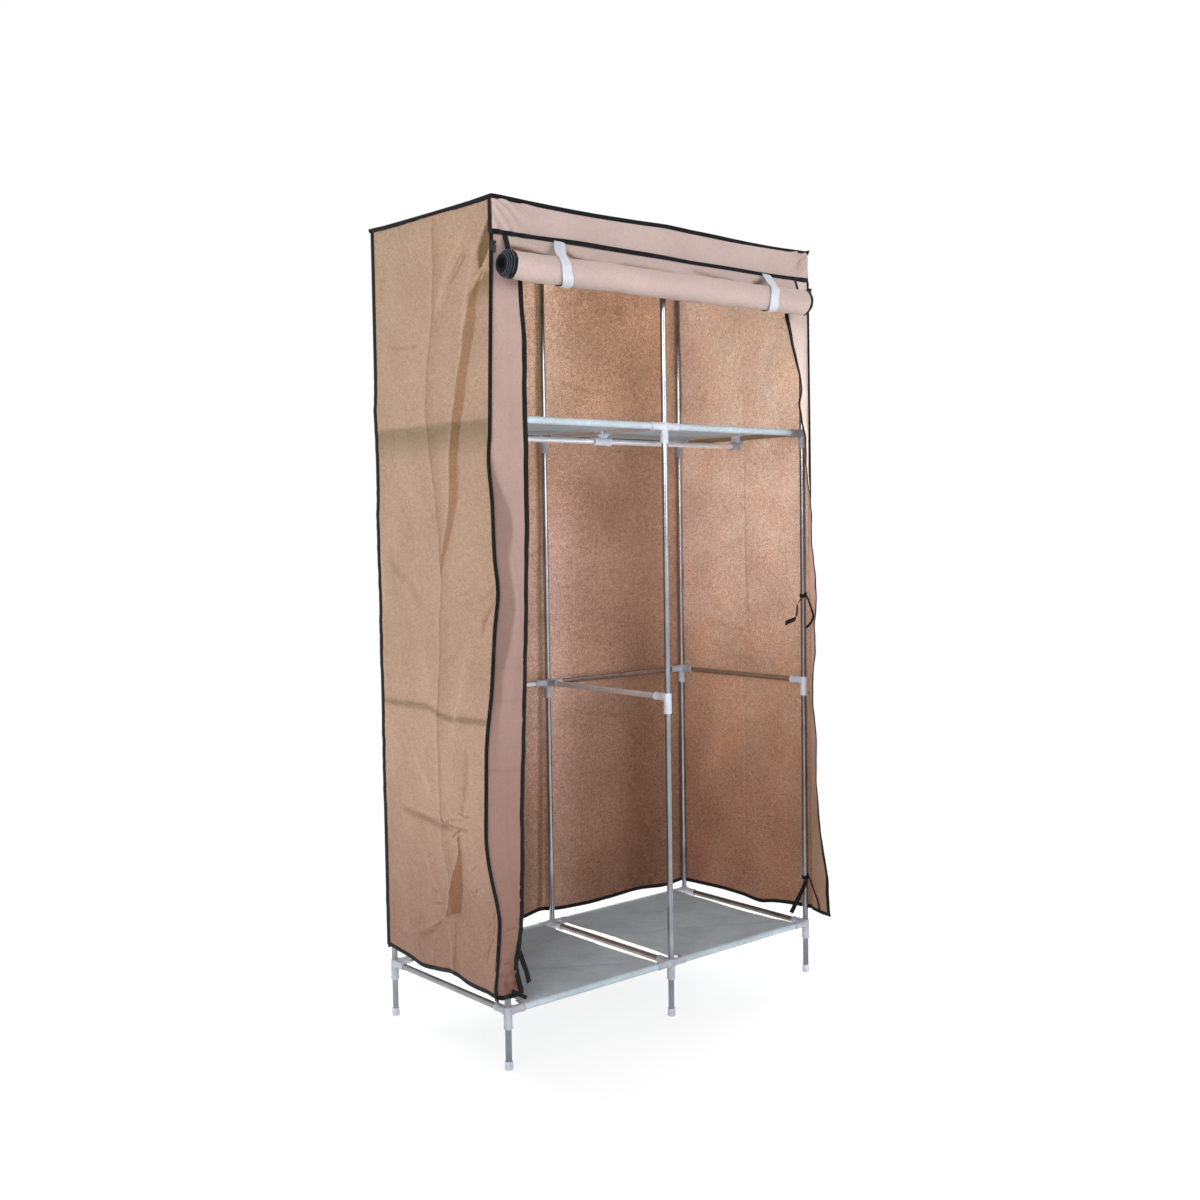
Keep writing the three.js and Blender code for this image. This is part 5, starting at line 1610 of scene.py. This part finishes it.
def door():
    path, wound, centre = door_path()
    left, right = (np.interp(wound, *zip(*steps))[:, None] for steps in (ROLL_LEFT_STEPS, ROLL_RIGHT_STEPS))
    t = np.linspace(0, 1, 121)[None, :]
    grid = stack(lerp(left, right, t), path[:, :1], path[:, 1:])
    x = grid[..., 0]
    arms = grid[..., 1:] - centre
    rolled = (wound >= 0)[:, None]
    squeeze = 0
    for table in STRAPS.values():
        squeeze = squeeze + 2.0 * hill(x - table[3][1], 24.0)
    outer_turn = np.clip(1.0 - np.maximum(wound, 0) / ROLL_TURNS, 0, 1)[:, None]
    turned = np.degrees(np.arctan2(arms[..., 1], arms[..., 0])) * 0.5
    wave = rippled(0.0, x, turned, 81, (0.9, 150.0), (0.5, 50.0))
    change = (wave - squeeze) * outer_turn * 0.9 / np.linalg.norm(arms, axis=2)
    grid[..., 1:] = np.where(rolled[..., None], centre + arms * (1 + change)[..., None], grid[..., 1:])
    grid[..., 2] -= ROLL_DIP * (np.clip(wound + 1.0, 0, 1)[:, None] * (1 - t))
    # Loose folds where the sheet hangs between the band and the roll, with painted shade in their furrows.
    tint = blank(x)
    hanging = np.where(rolled, 0.0, np.sin(math.pi * np.clip(wound + 1.0, 0, 1))[:, None])
    for line, width, depth in DOOR_FOLDS:
        step = crease(x, grid[..., 2], line, width, depth) * hanging
        grid[..., 1] -= step
        tint *= (1.0 - 0.22 * np.clip(-step, 0, 3.5))[..., None] ** np.array([0.8, 1.0, 1.25])
    grid[..., 1] -= hanging * 1.2 * ripples(x, grid[..., 2], 90.0, 83)
    brighten(tint, 0.03 * ripples(x, turned, 170.0, 84))
    made = cloth("door_cloth", grid, FRONT, "cover_cloth", ["door_roll"], tint)
    ends = [binding("door_hem", *edge_of(grid, "high"), 8.0, 0.8, 0.8)]
    for label, column, way, hanging_width in (("left", 0, -1.0, 12.5), ("right", -1, 1.0, 8.0)):
        width = lerp(hanging_width, 8.0, smooth(wound / 0.3 + 1.0))
        # The inner turns' black tape widens to 34 mm: a dark sheet put where the roll's hollow is in shade,
        # a painted shade.
        width = lerp(width, 34.0, smooth((wound - 0.62 * ROLL_TURNS) / 1.2))
        line = grid[:, column] + np.outer(4.4 - width / 2, [way, 0, 0])
        ends.append(strip(f"door_binding_{label}", line, (1, 0, 0), width, 1.15, BLACK, "black_tape"))
        # A painted highlight: paler strips stand for the light that the tape's woven edge catches where a
        # group of turns stands out.
        for number, first in enumerate(ROLL_GROUPS):
            name = f"door_tape_edge_{label}_{number}"
            ring = (wound >= first) & (wound <= first + 0.97)
            edge = grid[ring, column] + [way * 4.9, 0, 0]
            ends.append(strip(name, edge, (1, 0, 0), 1.1, 1.0, TAPE_GLINT, "black_tape"))
    cut_size(grid)
    cut_area(grid)


def roll_strap(side, table):
    """White tape from the band over the roll's front, under it and up behind the hanging door."""
    centre = np.array([ROLL_Y, ROLL_Z - (ROLL_DIP if side == "left" else ROLL_DIP * 0.2)])
    radius = ROLL_RADIUS + 0.4
    head = np.array([-COVER_OUT - 2.1, BAND_BOTTOM + 3.5])
    rear = np.array([-COVER_OUT - 0.2, BAND_BOTTOM - 26])
    line = head - centre
    start = math.atan2(line[1], line[0]) + math.acos(radius / np.linalg.norm(line))
    turn = np.linspace(start, math.radians(330), 48)
    around = centre + radius * arc(1.0, turn)
    before = lerp(head, around[0], np.linspace(0, 1, 12)[:-1, None])
    after = lerp(around[-1], rear, np.linspace(0, 1, 8)[1:, None])
    yz = np.concatenate([before, around, after])
    x = curve_through(table, yz[:, 1])
    lowest = int(np.argmin(yz[:, 1]))
    x[lowest:] = x[lowest]
    strip(f"strap_{side}", np.column_stack([x, yz]), (1, 0, 0), 24.0, 1.0, WHITE, "white_tape",
          [f"roll_strap_{side}"])


# Short black ribbons sewn inside the cover, and knotted round the front right upright: points and widths.
TIES = {
    "tie_upper_tail": (
        [
            (438, -9.5, 900), (421, -9.5, 890), (413, -9, 881), (409, -9, 860), (405, -9, 849),
            (395, -8, 844), (383, -7, 841), (372, -6, 838),
        ],
        [5, 4, 3.5, 4, 6, 11, 12, 12],
    ),
    "tie_upper_loop": (
        [
            (442, -9, 900), (437, -20, 890), (430, -36, 868), (424, -46, 852), (418, -44, 838),
            (412, -34, 826),
        ],
        [5, 4, 4, 5, 5, 6],
    ),
    "tie_lower_tail": (
        [(440, -8.6, 231), (431, -8.4, 214), (419, -4, 190), (407, 2, 166), (396, 4, 149)],
        [6, 9.5, 10, 10, 10],
    ),
    "tie_lower_loop": (
        [(442, -9, 232), (436, -20, 226), (433, -35, 203), (434, -45, 180), (436, -50, 154)],
        [4, 3.5, 3.5, 4, 4],
    ),
    "tail_flap": ([(-421, -13.5, 236), (-415, -17, 212), (-406, -16, 190), (-399, -14, 168)], [11, 11]),
    "tail_hem": ([(-440, -13.5, 160), (-426, -15, 151), (-406, -14, 139)], [8, 8]),
}
# The heights of their knots.
KNOTS = {"tie_upper_knot": 901.0, "tie_lower_knot": 230.0}


def ribbon_ties():
    for name, (points, widths) in TIES.items():
        across = (0.75, -0.65, 0) if name.startswith("tie") else (1, 0, 0.4)
        across = (0.2, -0.3, 1.0) if name == "tie_upper_tail" else across
        path = spline(points)
        width = np.interp(np.linspace(0, 1, len(path)), np.linspace(0, 1, len(widths)), widths)
        strip(name, path, across, width, 0.8, BLACK, "black_tape")
    turn = np.linspace(0, math.tau * 1.1, 40)
    radius = TUBE + 1.0 + 0.9 * turn / math.tau
    for name, z in KNOTS.items():
        ring = stack(HALF_WIDTH + radius * np.cos(turn), radius * np.sin(turn), z + 2.5 * np.cos(turn))
        strip(name, ring, (0, 0, 1), 7.0, 0.8, BLACK, "black_tape")


def sliders():
    for side in SIGN:
        for kind in ("slider", "pull"):
            materials = frame["nodes"][f"zip_{kind}_{side}"].data.materials
            materials.clear()
            materials.append(ENAMEL)


camera()
studio()
floor()
uprights()
rails()
rod_and_clips()
for shelf_level in ("bottom", "upper"):
    for shelf_side in SIGN:
        shelf(shelf_level, shelf_side)
left_side()
right_side()
back_panel()
top_panel()
front_band()
zip_tapes()
flap("left")
flap("right")
door()
for strap_side, strap_table in STRAPS.items():
    roll_strap(strap_side, strap_table)
ribbon_ties()
sliders()

plain = [[[float(c) for c in corner] for corner in box] for box in (cad_bounds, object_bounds())]
